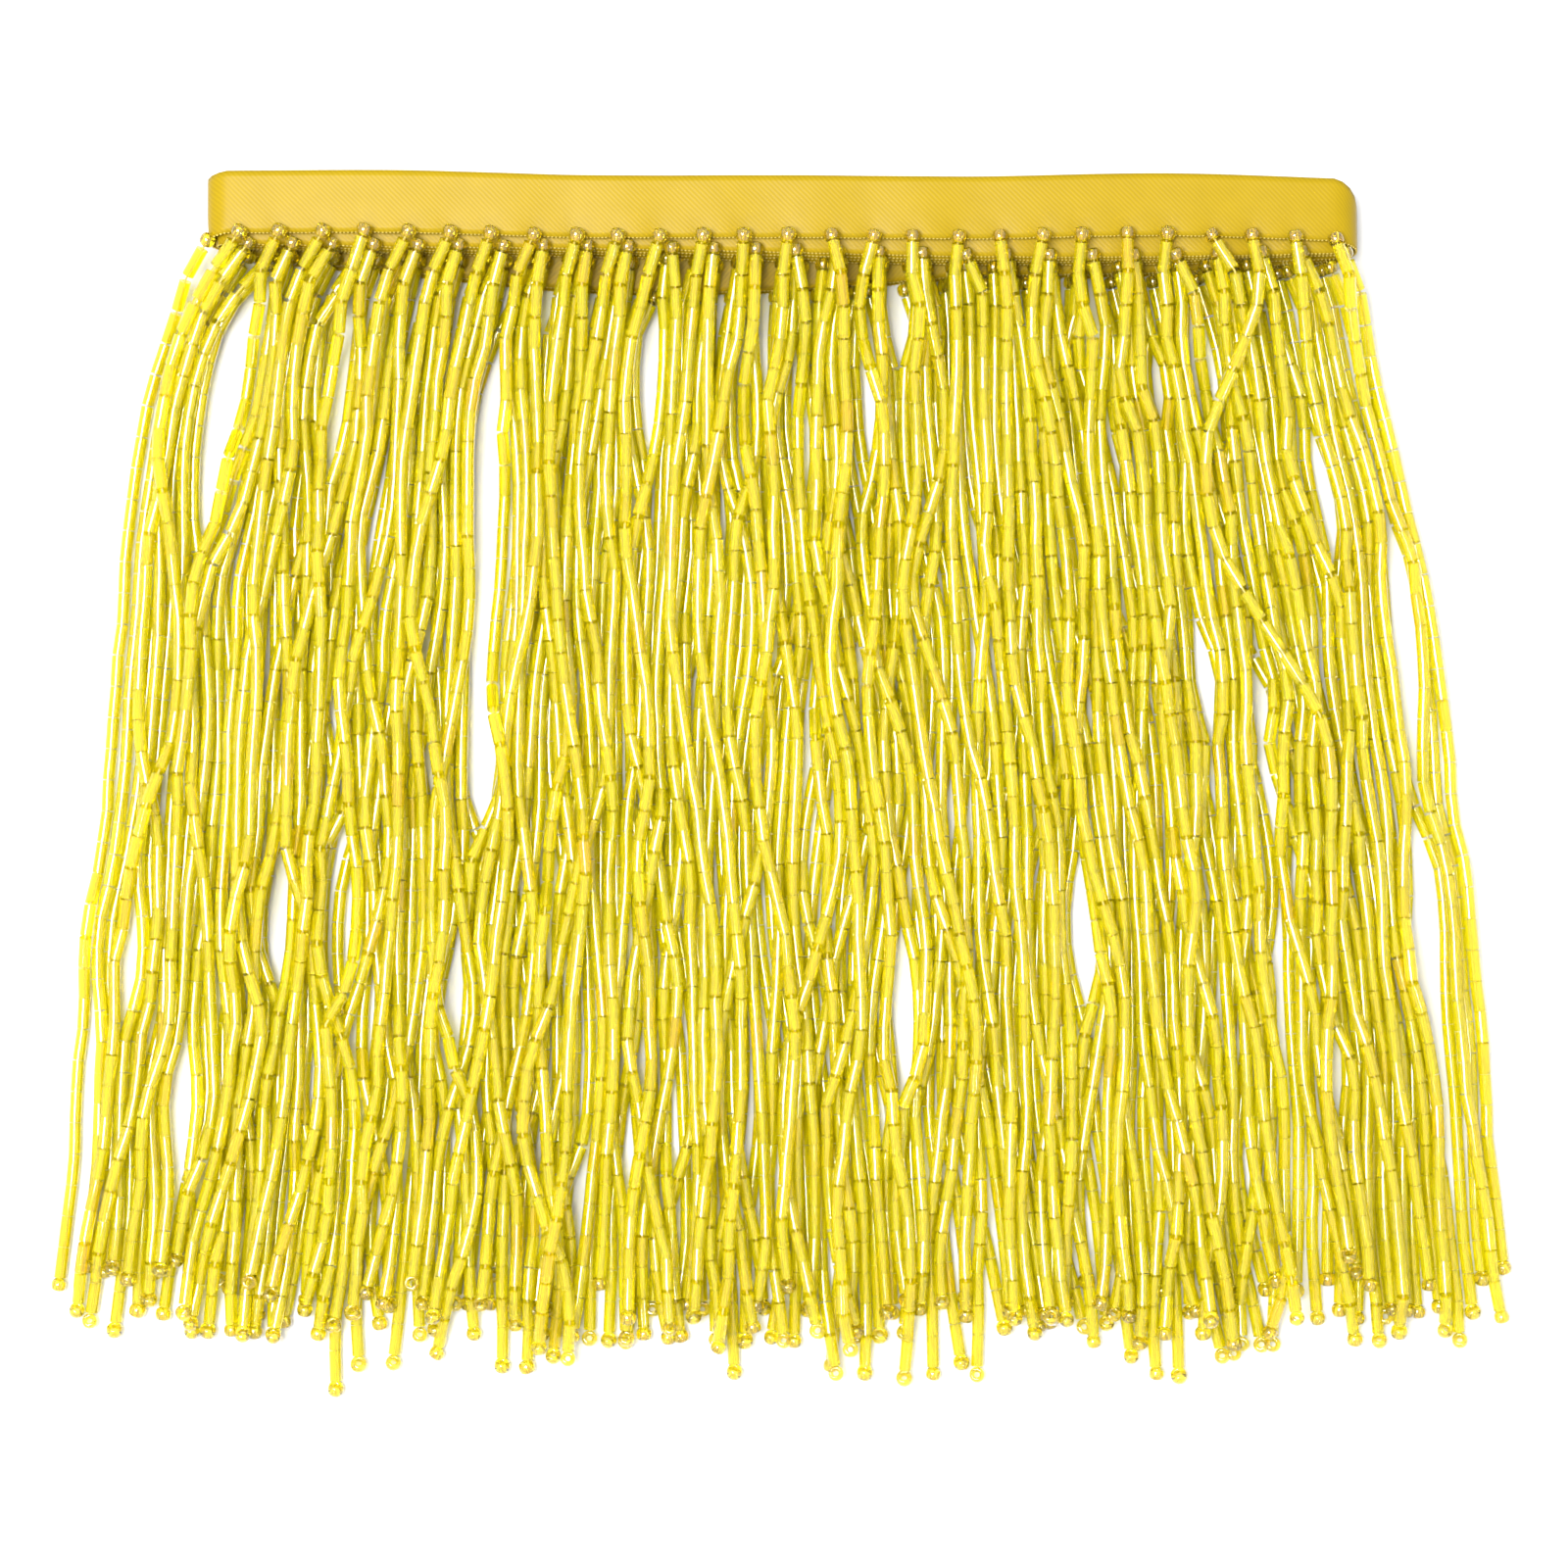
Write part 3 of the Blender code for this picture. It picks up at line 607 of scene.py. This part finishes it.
def laid_strands(course):
    """Every strand with its seed bead's place and its bead ends, stacked over ribbon and strands."""
    seed_half = bpy.context.scene.trim_beads.seed_length / 2
    rest = np.full(GRID_SHAPE, BEAD_RADIUS)
    laid = {}
    for layer, lines in bead_lines(course).items():
        hang = FACE_HANG if layer in FACE_LAYERS else EDGE_HANG
        laid[layer] = []
        for root, line in lines:
            points = slid(line, hang.below + seed_half + 0.1)
            rows, xs, marks = by_row(points)
            heights = strung(rest[rows, column_of(xs)], marks)
            heights[0] = max(heights[0], root.z + hang.above)
            heights = eased(heights)
            stamped(rest, rows, xs, np.interp(np.arange(len(rows)), marks, heights))
            joints = [Vector((x, y, z)) for (x, y), z in zip(points, heights)]
            seed = joints[0] - (joints[1] - joints[0]).normalized() * (seed_half + 0.1)
            laid[layer].append(Strand(root, seed, joints))
        over_ribbon(rest, layer)
    return laid


def over_ribbon(rest, layer):
    """Raise the grid of heights above a layer of ribbon."""
    cloth = bpy.context.scene.trim_ribbon.thickness
    height = layer_z(layer) + cloth / 2 + BEAD_RADIUS
    for column in range(column_of(LEFT_FOLD_X), column_of(RIGHT_FOLD_X)):
        low = through(EDGE_COLUMNS, LOWER_EDGES[layer], GRID_LEFT + column * GRID_DX)
        cells = rest[row_of(low + RIBBON_WIDTH):row_of(low) + 1, column]
        np.maximum(cells, height, out=cells)


def shift_to_frame(course):
    """From the layout to the frame: the step between the solid ribbon's corner and its layout's."""
    corners = []
    along = 0.0
    for kind, length, *_ in course:
        steps = LAYER_STEPS if kind == "layer" else FOLD_STEPS
        for i in range(steps + 1):
            x, z, (dx, dz), low, _ = station(course, along + length * i / steps)
            for face in (-1, 1):
                offset = face * CLOTH / 2
                corners.append((x + dz * offset, low + STRIP_WIDTH + PARTING_CUT, z - dx * offset))
        along += length
    nominal = Vector(min(corner[k] for corner in corners) for k in range(3))
    return Vector(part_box("ribbon")[0]) - nominal * MM


def placed_in_frame(obj, course):
    """Move a piece's mesh from the layout in millimetres to the frame in metres."""
    obj.data.transform(Matrix.Translation(shift_to_frame(course)) @ Matrix.Scale(MM, 4))
    return obj


def mesh_piece(name, mesh, material):
    mesh.name = name
    mesh.materials.clear()
    mesh.materials.append(material)
    obj = bpy.data.objects.new(name, mesh)
    bpy.context.scene.collection.objects.link(obj)
    return obj


def bugle_shape(beads):
    """A cut length of glass tube along Z, its two ends sharp."""
    bm = bmesh.new()
    outer, inner, half = beads.bugle_width / 2, beads.bugle_hole / 2, beads.bugle_length / 2
    bmesh.ops.create_circle(bm, segments=beads.bugle_sides, radius=outer)
    bmesh.ops.translate(bm, verts=bm.verts, vec=(0, 0, -half))
    first = list(bm.edges)
    ring = first
    for move, scale in ((2 * half, 1.0), (0.0, inner / outer), (-2 * half, 1.0)):
        drawn = bmesh.ops.extrude_edge_only(bm, edges=ring)["geom"]
        verts = [item for item in drawn if isinstance(item, bmesh.types.BMVert)]
        ring = [item for item in drawn if isinstance(item, bmesh.types.BMEdge)
                and all(vert in verts for vert in item.verts)]
        bmesh.ops.translate(bm, verts=verts, vec=(0, 0, move))
        bmesh.ops.scale(bm, verts=verts, vec=(scale, scale, 1.0))
    bmesh.ops.bridge_loops(bm, edges=first + ring)
    bmesh.ops.recalc_face_normals(bm, faces=bm.faces)
    for face in bm.faces:
        face.smooth = abs(face.normal.z) < 0.5
    for edge in bm.edges:
        edge.smooth = len({face.smooth for face in edge.link_faces}) == 1
    mesh = bpy.data.meshes.new("bugle_shape")
    bm.to_mesh(mesh)
    bm.free()
    return mesh


def seed_shape(beads, steps=12, profile=8):
    """A small ring of glass round Z with a rounded wall."""
    bm = bmesh.new()
    wall = (beads.seed_width - beads.seed_hole) / 4
    bmesh.ops.create_circle(bm, segments=profile, radius=1.0)
    bmesh.ops.scale(bm, verts=bm.verts, vec=(wall, beads.seed_length / 2, 1.0))
    bmesh.ops.rotate(bm, verts=bm.verts, cent=(0, 0, 0), matrix=Matrix.Rotation(math.pi / 2, 3, "X"))
    bmesh.ops.translate(bm, verts=bm.verts, vec=(beads.seed_hole / 2 + wall, 0, 0))
    bmesh.ops.spin(
        bm, geom=list(bm.edges), cent=(0, 0, 0), axis=(0, 0, 1), angle=2 * math.pi, steps=steps,
        use_merge=True)
    bmesh.ops.remove_doubles(bm, verts=bm.verts, dist=0.001)
    bmesh.ops.recalc_face_normals(bm, faces=bm.faces)
    for face in bm.faces:
        face.smooth = True
    mesh = bpy.data.meshes.new("seed_shape")
    bm.to_mesh(mesh)
    bm.free()
    return mesh


def strewn(name, shape, places, material, shades):
    """One piece of many copies of a small shape, each with its own shade."""
    bm = bmesh.new()
    for place in places:
        copy = shape.copy()
        copy.transform(place)
        bm.from_mesh(copy)
        bpy.data.meshes.remove(copy)
    mesh = bpy.data.meshes.new(name)
    bm.to_mesh(mesh)
    bm.free()
    values = mesh.attributes.new("shade", "FLOAT", "POINT")
    values.data.foreach_set("value", np.repeat(shades, len(shape.vertices)).astype(np.float32))
    return mesh_piece(name, mesh, material)


def along_line(start, end, twist):
    """Place of a bead between two points of its thread, turned about the thread by a twist."""
    turn = (end - start).to_track_quat("Z", "Y").to_matrix().to_4x4()
    return Matrix.Translation((start + end) / 2) @ turn @ Matrix.Rotation(twist, 4, "Z")


def principled(name, colour, roughness):
    material = bpy.data.materials.new(name)
    material.use_nodes = True
    shader = material.node_tree.nodes["Principled BSDF"]
    shader.inputs["Base Color"].default_value = (*colour, 1.0)
    shader.inputs["Roughness"].default_value = roughness
    return material, material.node_tree.nodes, material.node_tree.links, shader


def new_group(name, inputs, outputs):
    """An empty shader node group with named inputs and outputs."""
    group = bpy.data.node_groups.new(name, "ShaderNodeTree")
    for label, kind, value in inputs:
        socket = group.interface.new_socket(label, in_out="INPUT", socket_type=kind)
        socket.default_value = value
    for label, kind in outputs:
        group.interface.new_socket(label, in_out="OUTPUT", socket_type=kind)
    return group, group.nodes.new("NodeGroupInput"), group.nodes.new("NodeGroupOutput")


def batch_colour_group():
    """Colour that drifts a little from bead to bead and from stretch to stretch of thread."""
    if "batch_colour" in bpy.data.node_groups:
        return bpy.data.node_groups["batch_colour"]
    group, given, result = new_group(
        "batch_colour",
        (("Colour", "NodeSocketColor", (1, 1, 1, 1)), ("Deep", "NodeSocketColor", (1, 1, 1, 1)),
         ("Shade", "NodeSocketFloat", 0.0), ("Patch Scale", "NodeSocketFloat", 60.0)),
        (("Colour", "NodeSocketColor"),))
    place = group.nodes.new("ShaderNodeTexCoord")
    noise = group.nodes.new("ShaderNodeTexNoise")
    noise.inputs["Detail"].default_value = 2.0
    group.links.new(place.outputs["Object"], noise.inputs["Vector"])
    group.links.new(given.outputs["Patch Scale"], noise.inputs["Scale"])
    patch = group.nodes.new("ShaderNodeMath")
    patch.operation = "MULTIPLY"
    patch.inputs[1].default_value = DEEP_PATCH_SHARE
    group.links.new(noise.outputs["Fac"], patch.inputs[0])
    total = group.nodes.new("ShaderNodeMath")
    total.operation = "ADD"
    total.use_clamp = True
    group.links.new(patch.outputs[0], total.inputs[0])
    group.links.new(given.outputs["Shade"], total.inputs[1])
    mix = group.nodes.new("ShaderNodeMix")
    mix.data_type = "RGBA"
    group.links.new(total.outputs[0], mix.inputs["Factor"])
    group.links.new(given.outputs["Colour"], mix.inputs["A"])
    group.links.new(given.outputs["Deep"], mix.inputs["B"])
    group.links.new(mix.outputs["Result"], result.inputs["Colour"])
    return group


def yellow_glass(glass, colour):
    """Clear yellow glass with a bright gloss."""
    if glass.name in bpy.data.materials:
        return bpy.data.materials[glass.name]
    beads = bpy.context.scene.trim_beads
    material, nodes, links, shader = principled(glass.name, colour, GLASS_ROUGHNESS)
    shader.inputs["Transmission Weight"].default_value = glass.clearness
    shader.inputs["IOR"].default_value = glass.bending
    shader.inputs["Coat Weight"].default_value = 1.0
    shader.inputs["Coat Roughness"].default_value = GLOSS_ROUGHNESS
    shader.inputs["Coat IOR"].default_value = GLOSS_BENDING
    shade = nodes.new("ShaderNodeAttribute")
    shade.attribute_name = "shade"
    batch = nodes.new("ShaderNodeGroup")
    batch.node_tree = batch_colour_group()
    batch.inputs["Colour"].default_value = (*colour, 1.0)
    batch.inputs["Deep"].default_value = (*beads.deep_colour, 1.0)
    links.new(shade.outputs["Fac"], batch.inputs["Shade"])
    links.new(batch.outputs["Colour"], shader.inputs["Base Color"])
    return material


def satin():
    """Satin weave: fine slanted ribs that follow the ribbon."""
    if "ribbon_satin" in bpy.data.materials:
        return bpy.data.materials["ribbon_satin"]
    ribbon = bpy.context.scene.trim_ribbon
    material, nodes, links, shader = principled("ribbon_satin", ribbon.colour, 0.38)
    shader.inputs["Specular IOR Level"].default_value = 0.12
    place = nodes.new("ShaderNodeUVMap")
    place.uv_map = "weave"
    ribs = nodes.new("ShaderNodeTexWave")
    ribs.wave_type = "BANDS"
    ribs.bands_direction = "DIAGONAL"
    ribs.inputs["Scale"].default_value = 0.75
    ribs.inputs["Distortion"].default_value = 0.6
    ribs.inputs["Detail"].default_value = 1.0
    links.new(place.outputs["UV"], ribs.inputs["Vector"])
    mottle = nodes.new("ShaderNodeTexNoise")
    mottle.inputs["Scale"].default_value = 0.25
    mottle.inputs["Detail"].default_value = 4.0
    links.new(place.outputs["UV"], mottle.inputs["Vector"])
    blend = nodes.new("ShaderNodeMix")
    blend.data_type = "FLOAT"
    blend.inputs["Factor"].default_value = 0.5
    links.new(ribs.outputs["Fac"], blend.inputs["A"])
    links.new(mottle.outputs["Fac"], blend.inputs["B"])
    ramp = nodes.new("ShaderNodeMix")
    ramp.data_type = "RGBA"
    ramp.inputs["A"].default_value = (*(0.86 * value for value in ribbon.colour), 1.0)
    ramp.inputs["B"].default_value = (*(1.14 * value for value in ribbon.colour), 1.0)
    links.new(blend.outputs["Result"], ramp.inputs["Factor"])
    links.new(ramp.outputs["Result"], shader.inputs["Base Color"])
    bump = nodes.new("ShaderNodeBump")
    bump.inputs["Strength"].default_value = 0.2
    bump.inputs["Distance"].default_value = 0.00006
    links.new(ribs.outputs["Fac"], bump.inputs["Height"])
    links.new(bump.outputs["Normal"], shader.inputs["Normal"])
    return material


def thread_finish():
    """Twisted polyester thread."""
    if "sewing_thread" in bpy.data.materials:
        return bpy.data.materials["sewing_thread"]
    threads = bpy.context.scene.trim_threads
    material, nodes, links, shader = principled("sewing_thread", threads.colour, 0.5)
    place = nodes.new("ShaderNodeTexCoord")
    twist = nodes.new("ShaderNodeTexNoise")
    twist.inputs["Scale"].default_value = 2500.0
    links.new(place.outputs["Object"], twist.inputs["Vector"])
    tint = nodes.new("ShaderNodeMix")
    tint.data_type = "RGBA"
    tint.inputs["A"].default_value = (*(0.8 * value for value in threads.colour), 1.0)
    tint.inputs["B"].default_value = (*threads.colour, 1.0)
    links.new(twist.outputs["Fac"], tint.inputs["Factor"])
    links.new(tint.outputs["Result"], shader.inputs["Base Color"])
    return material


def cloth_place(course, root_places, pucker, ripples, along, share):
    """Point of the cloth at a length along the ribbon and a share across it from its lower edge."""
    x, z, (dx, dz), low, upper = station(course, along)
    near = min(
        (abs(along - place) for place in root_places[int(along / ROOT_PITCH)]), default=FAR_FROM_ROOTS)
    drawn = math.exp(-(near / DRAWN_REACH) ** 2) * max(1.0 - share / DRAWN_SHARE, 0.0) ** 1.5
    ripple = sway(ripples, along) * (0.35 + 0.65 * (1.0 - share))
    off = bpy.context.scene.trim_ribbon.wave * ripple - pucker * drawn
    lift = DRAWN_LIFT * math.exp(-(near / DRAWN_REACH) ** 2) * max(1 - 3 * share, 0.0)
    y = low + share * (upper - low) + lift
    lowest = bpy.context.scene.trim_threads.loop_size / 2
    return Vector((x - dz * off, y, max(z + abs(dx) * off, lowest)))


def places_by_pitch(laid):
    """Roots' lengths along the ribbon, listed for each stretch of a root pitch with its neighbours."""
    listed = {}
    for strands in laid.values():
        for strand in strands:
            stretch = int(strand.root.along / ROOT_PITCH)
            for near in (stretch - 1, stretch, stretch + 1):
                listed.setdefault(near, []).append(strand.root.along)
    for stretch in range(-1, int(TRIM_LENGTH / ROOT_PITCH) + 2):
        listed.setdefault(stretch, [])
    return listed


def ripple_waves():
    return waves(random.Random(LOOKS_SEED), 4, 60.0, 14.0)


def finished_piece(obj, replaced):
    """Give a piece its body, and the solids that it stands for."""
    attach(obj, "root")
    if replaced:
        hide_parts(*replaced)


class TRIM_OT_ribbon(bpy.types.Operator):
    """Wind the satin ribbon in its layers, drawn in at each root"""
    bl_idname = "trim.ribbon"
    bl_label = "Satin Ribbon"

    def execute(self, context):
        settings = context.scene.trim_ribbon
        course = winding()
        root_places = places_by_pitch(laid_strands(course))
        ripples = ripple_waves()
        count = int(TRIM_LENGTH / settings.step)
        shares = [i / settings.across for i in range(settings.across + 1)]
        bm = bmesh.new()
        uv_of = {}
        row = []
        for share in shares:
            point = cloth_place(course, root_places, settings.pucker, ripples, 0.0, share)
            vert = bm.verts.new(point)
            uv_of[vert] = (0.0, share * RIBBON_WIDTH)
            row.append(vert)
        edges = [bm.edges.new(pair) for pair in zip(row, row[1:])]
        for i in range(1, count + 1):
            along = TRIM_LENGTH * i / count
            drawn = bmesh.ops.extrude_edge_only(bm, edges=edges)["geom"]
            edges = [item for item in drawn if isinstance(item, bmesh.types.BMEdge)]
            new_row = [item for item in drawn if isinstance(item, bmesh.types.BMVert)]
            edges = [edge for edge in edges if all(vert in new_row for vert in edge.verts)]
            new_row.sort(key=lambda vert: vert.co.y)
            for vert, share in zip(new_row, shares):
                vert.co = cloth_place(course, root_places, settings.pucker, ripples, along, share)
                uv_of[vert] = (along, share * RIBBON_WIDTH)
        weave = bm.loops.layers.uv.new("weave")
        for face in bm.faces:
            face.smooth = True
            for loop in face.loops:
                loop[weave].uv = uv_of[loop.vert]
        bmesh.ops.recalc_face_normals(bm, faces=bm.faces)
        mesh = bpy.data.meshes.new("satin_ribbon")
        bm.to_mesh(mesh)
        bm.free()
        obj = placed_in_frame(mesh_piece("satin_ribbon", mesh, satin()), course)
        wall = obj.modifiers.new("cloth", "SOLIDIFY")
        wall.thickness = settings.thickness * MM
        wall.offset = 0.0
        finished_piece(obj, ["ribbon"])
        return {"FINISHED"}


class TRIM_OT_bugles(bpy.types.Operator):
    """String the bugle beads, one piece for each layer of the ribbon"""
    bl_idname = "trim.bugles"
    bl_label = "Bugle Beads"

    def execute(self, context):
        course = winding()
        chance = random.Random(LOOKS_SEED + 1)
        beads = context.scene.trim_beads
        shape = bugle_shape(beads)
        for layer, strands in laid_strands(course).items():
            places, shades = [], []
            for strand in strands:
                for start, end in zip(strand.joints, strand.joints[1:]):
                    places.append(along_line(start, end, chance.uniform(0, math.tau)))
                    shade = max(chance.gauss(0.0, SHADE_SPREAD), 0.0)
                    shades.append(shade + (ODD_BEAD_SHADE if chance.random() < ODD_BEAD_SHARE else 0))
            glass = yellow_glass(BUGLE_GLASS, beads.colour)
            obj = strewn(f"bugle_beads_{layer}", shape, places, glass, shades)
            finished_piece(placed_in_frame(obj, course), [f"fringe_{layer}"])
        bpy.data.meshes.remove(shape)
        return {"FINISHED"}


class TRIM_OT_seeds(bpy.types.Operator):
    """Set a seed bead at each strand's root and one at its end"""
    bl_idname = "trim.seeds"
    bl_label = "Seed Beads"

    def execute(self, context):
        beads = context.scene.trim_beads
        course = winding()
        chance = random.Random(LOOKS_SEED + 2)
        shape = seed_shape(beads)
        lowest = beads.seed_width / 2 * SEED_SEAT
        tops, ends = [], []
        for strands in laid_strands(course).values():
            for strand in strands:
                joints = strand.joints
                size = Matrix.Scale(chance.uniform(0.92, 1.04), 4)
                run = (joints[1] - joints[0]).normalized()
                seat = strand.seed.copy()
                seat.z = max(seat.z, lowest)
                tops.append(along_line(seat - run, seat + run, chance.random()) @ size)
                run = (joints[-1] - joints[-2]).normalized()
                tilt = Matrix.Rotation(math.radians(chance.uniform(0, 75)), 4, "X")
                size = Matrix.Scale(chance.uniform(0.92, 1.06), 4)
                lean = abs(math.sin(tilt.to_euler().x))
                out = beads.seed_length / 2 + lean * (beads.seed_width - beads.seed_length) / 2 + 0.05
                middle = joints[-1] + run * out
                middle.z = max(middle.z, lowest)
                turn = Matrix.Rotation(chance.uniform(-0.35, 0.35), 4, "Z")
                flat = Vector((run.x, run.y, 0.0)).normalized()
                base = flat.to_track_quat("Z", "Y").to_matrix().to_4x4()
                ends.append(Matrix.Translation(middle) @ turn @ base @ tilt @ size)
        for name, places in (("root_seeds", tops), ("end_seeds", ends)):
            shades = [max(chance.gauss(0.0, SHADE_SPREAD), 0.0) for _ in places]
            obj = strewn(name, shape, places, yellow_glass(SEED_GLASS, beads.seed_colour), shades)
            finished_piece(placed_in_frame(obj, course), [])
        bpy.data.meshes.remove(shape)
        return {"FINISHED"}


def thread_piece(name, lines, width, course):
    """Threads of one width along many lines, as one mesh."""
    curve = bpy.data.curves.new(name, "CURVE")
    curve.dimensions = "3D"
    curve.bevel_depth = width / 2
    curve.bevel_resolution = 0
    curve.use_fill_caps = True
    for line in lines:
        spline = curve.splines.new("POLY")
        spline.points.add(len(line) - 1)
        for point, place in zip(spline.points, line):
            point.co = (*place, 1.0)
    rope = bpy.data.objects.new(name + "_curve", curve)
    bpy.context.scene.collection.objects.link(rope)
    mesh = bpy.data.meshes.new_from_object(rope.evaluated_get(bpy.context.evaluated_depsgraph_get()))
    bpy.data.objects.remove(rope)
    bpy.data.curves.remove(curve)
    for polygon in mesh.polygons:
        polygon.use_smooth = True
    return placed_in_frame(mesh_piece(name, mesh, thread_finish()), course)


class TRIM_OT_threads(bpy.types.Operator):
    """Run a doubled thread through each strand and sew its root to the ribbon"""
    bl_idname = "trim.threads"
    bl_label = "Threads"

    def execute(self, context):
        settings = context.scene.trim_threads
        course = winding()
        cores, tacks = [], []
        for strands in laid_strands(course).values():
            for strand in strands:
                cores.append([strand.seed, *strand.joints])
                root = strand.root
                top = Vector((root.x, root.edge + 0.9, root.z))
                for side in (-0.3, 0.3):
                    over = (strand.seed + top) / 2 + Vector((side, 0.0, 0.35))
                    tacks.append([top + Vector((side, 0.2, 0.0)), over, strand.seed])
        finished_piece(thread_piece("strand_threads", cores, settings.width, course), [])
        finished_piece(thread_piece("root_tacks", tacks, settings.stitch_width, course), [])
        return {"FINISHED"}


class TRIM_OT_edge(bpy.types.Operator):
    """Make the row of small loops along the ribbon's lower edge"""
    bl_idname = "trim.edge"
    bl_label = "Edge Loops"

    def execute(self, context):
        settings = context.scene.trim_threads
        course = winding()
        root_places = places_by_pitch(laid_strands(course))
        ripples = ripple_waves()
        pucker = context.scene.trim_ribbon.pucker
        bm = bmesh.new()
        bmesh.ops.create_icosphere(bm, subdivisions=1, radius=settings.loop_size / 2)
        shape = bpy.data.meshes.new("loop_shape")
        bm.to_mesh(shape)
        bm.free()
        places = []
        for i in range(int(TRIM_LENGTH / settings.loop_pitch)):
            along = (i + 0.5) * settings.loop_pitch
            point = cloth_place(course, root_places, pucker, ripples, along, 0.0)
            places.append(Matrix.Translation(point) @ Matrix.Diagonal((1.0, 0.8, 1.0, 1.0)))
        obj = strewn("edge_loops", shape, places, thread_finish(), [0.0] * len(places))
        bpy.data.meshes.remove(shape)
        finished_piece(placed_in_frame(obj, course), [])
        return {"FINISHED"}


class TRIM_OT_stage(bpy.types.Operator):
    """Set the floor, the lights and the camera"""
    bl_idname = "trim.stage"
    bl_label = "Stage"

    def execute(self, context):
        stage = context.scene.trim_stage
        middle = shift_to_frame(winding())
        self.make_floor(stage)
        self.make_world(context, stage)
        self.make_lights(stage, middle)
        data = bpy.data.cameras.new("camera")
        data.lens = stage.lens
        data.clip_start = 0.01
        camera = bpy.data.objects.new("camera", data)
        bpy.context.scene.collection.objects.link(camera)
        distance = stage.view_width * MM * stage.lens / data.sensor_width
        camera.location = (middle.x, middle.y, distance)
        context.scene.camera = camera
        return {"FINISHED"}

    def make_floor(self, stage):
        bm = bmesh.new()
        bmesh.ops.create_grid(bm, x_segments=1, y_segments=1, size=3.0)
        mesh = bpy.data.meshes.new("floor")
        bm.to_mesh(mesh)
        bm.free()
        material, *_ = principled("floor_paper", stage.floor, 0.9)
        floor = mesh_piece("floor", mesh, material)

    def make_world(self, context, stage):
        world = bpy.data.worlds.new("daylight")
        world.use_nodes = True
        sky = world.node_tree.nodes["Background"]
        sky.inputs["Color"].default_value = (1.0, 1.0, 1.0, 1.0)
        sky.inputs["Strength"].default_value = stage.daylight
        context.scene.world = world
        context.scene.view_settings.view_transform = "Standard"
        for kind, most in BOUNCES.items():
            setattr(context.scene.cycles, kind, most)

    def make_lights(self, stage, middle):
        lights = (
            ("key", (-0.24, 0.05, 0.9), (0.44, 0.44), stage.key),
            ("sparkle_left", (-0.5, -0.75, 0.8), (0.06, 0.06), stage.sparkle),
            ("sparkle_right", (0.5, -0.75, 0.8), (0.06, 0.06), stage.sparkle),
        )
        for name, place, size, power in lights:
            data = bpy.data.lights.new(name, "AREA")
            data.shape = "RECTANGLE"
            data.size, data.size_y = size
            data.energy = power
            lamp = bpy.data.objects.new(name, data)
            lamp.location = Vector(place) + Vector((middle.x, middle.y, 0.0))
            lamp.rotation_euler = Vector(place).to_track_quat("Z", "Y").to_euler()
            bpy.context.scene.collection.objects.link(lamp)


class TRIM_PT_panel(bpy.types.Panel):
    """Lists the pieces of the trim"""
    bl_idname = "TRIM_PT_panel"
    bl_label = "Beaded Fringe Trim"
    bl_space_type = "VIEW_3D"
    bl_region_type = "UI"
    bl_category = "Trim"

    def draw(self, context):
        for settings in (context.scene.trim_ribbon, context.scene.trim_beads,
                         context.scene.trim_threads, context.scene.trim_stage):
            box = self.layout.box()
            for name in settings.__annotations__:
                box.prop(settings, name)
        for operator in OPERATORS:
            self.layout.operator(operator.bl_idname)


OPERATORS = (
    TRIM_OT_stage, TRIM_OT_ribbon, TRIM_OT_edge, TRIM_OT_bugles, TRIM_OT_seeds, TRIM_OT_threads)
SETTINGS = (
    ("trim_beads", BeadSettings), ("trim_ribbon", RibbonSettings),
    ("trim_threads", ThreadSettings), ("trim_stage", StageSettings))


def register():
    for name, group in SETTINGS:
        bpy.utils.register_class(group)
        setattr(bpy.types.Scene, name, PointerProperty(type=group))
    for cls in (*OPERATORS, TRIM_PT_panel):
        bpy.utils.register_class(cls)


def unregister():
    for cls in (TRIM_PT_panel, *reversed(OPERATORS)):
        bpy.utils.unregister_class(cls)
    for name, group in reversed(SETTINGS):
        delattr(bpy.types.Scene, name)
        bpy.utils.unregister_class(group)


def main():
    register()
    bpy.ops.trim.stage()
    bpy.ops.trim.ribbon()
    bpy.ops.trim.edge()
    bpy.ops.trim.bugles()
    bpy.ops.trim.seeds()
    bpy.ops.trim.threads()


if __name__ == "__main__":
    main()
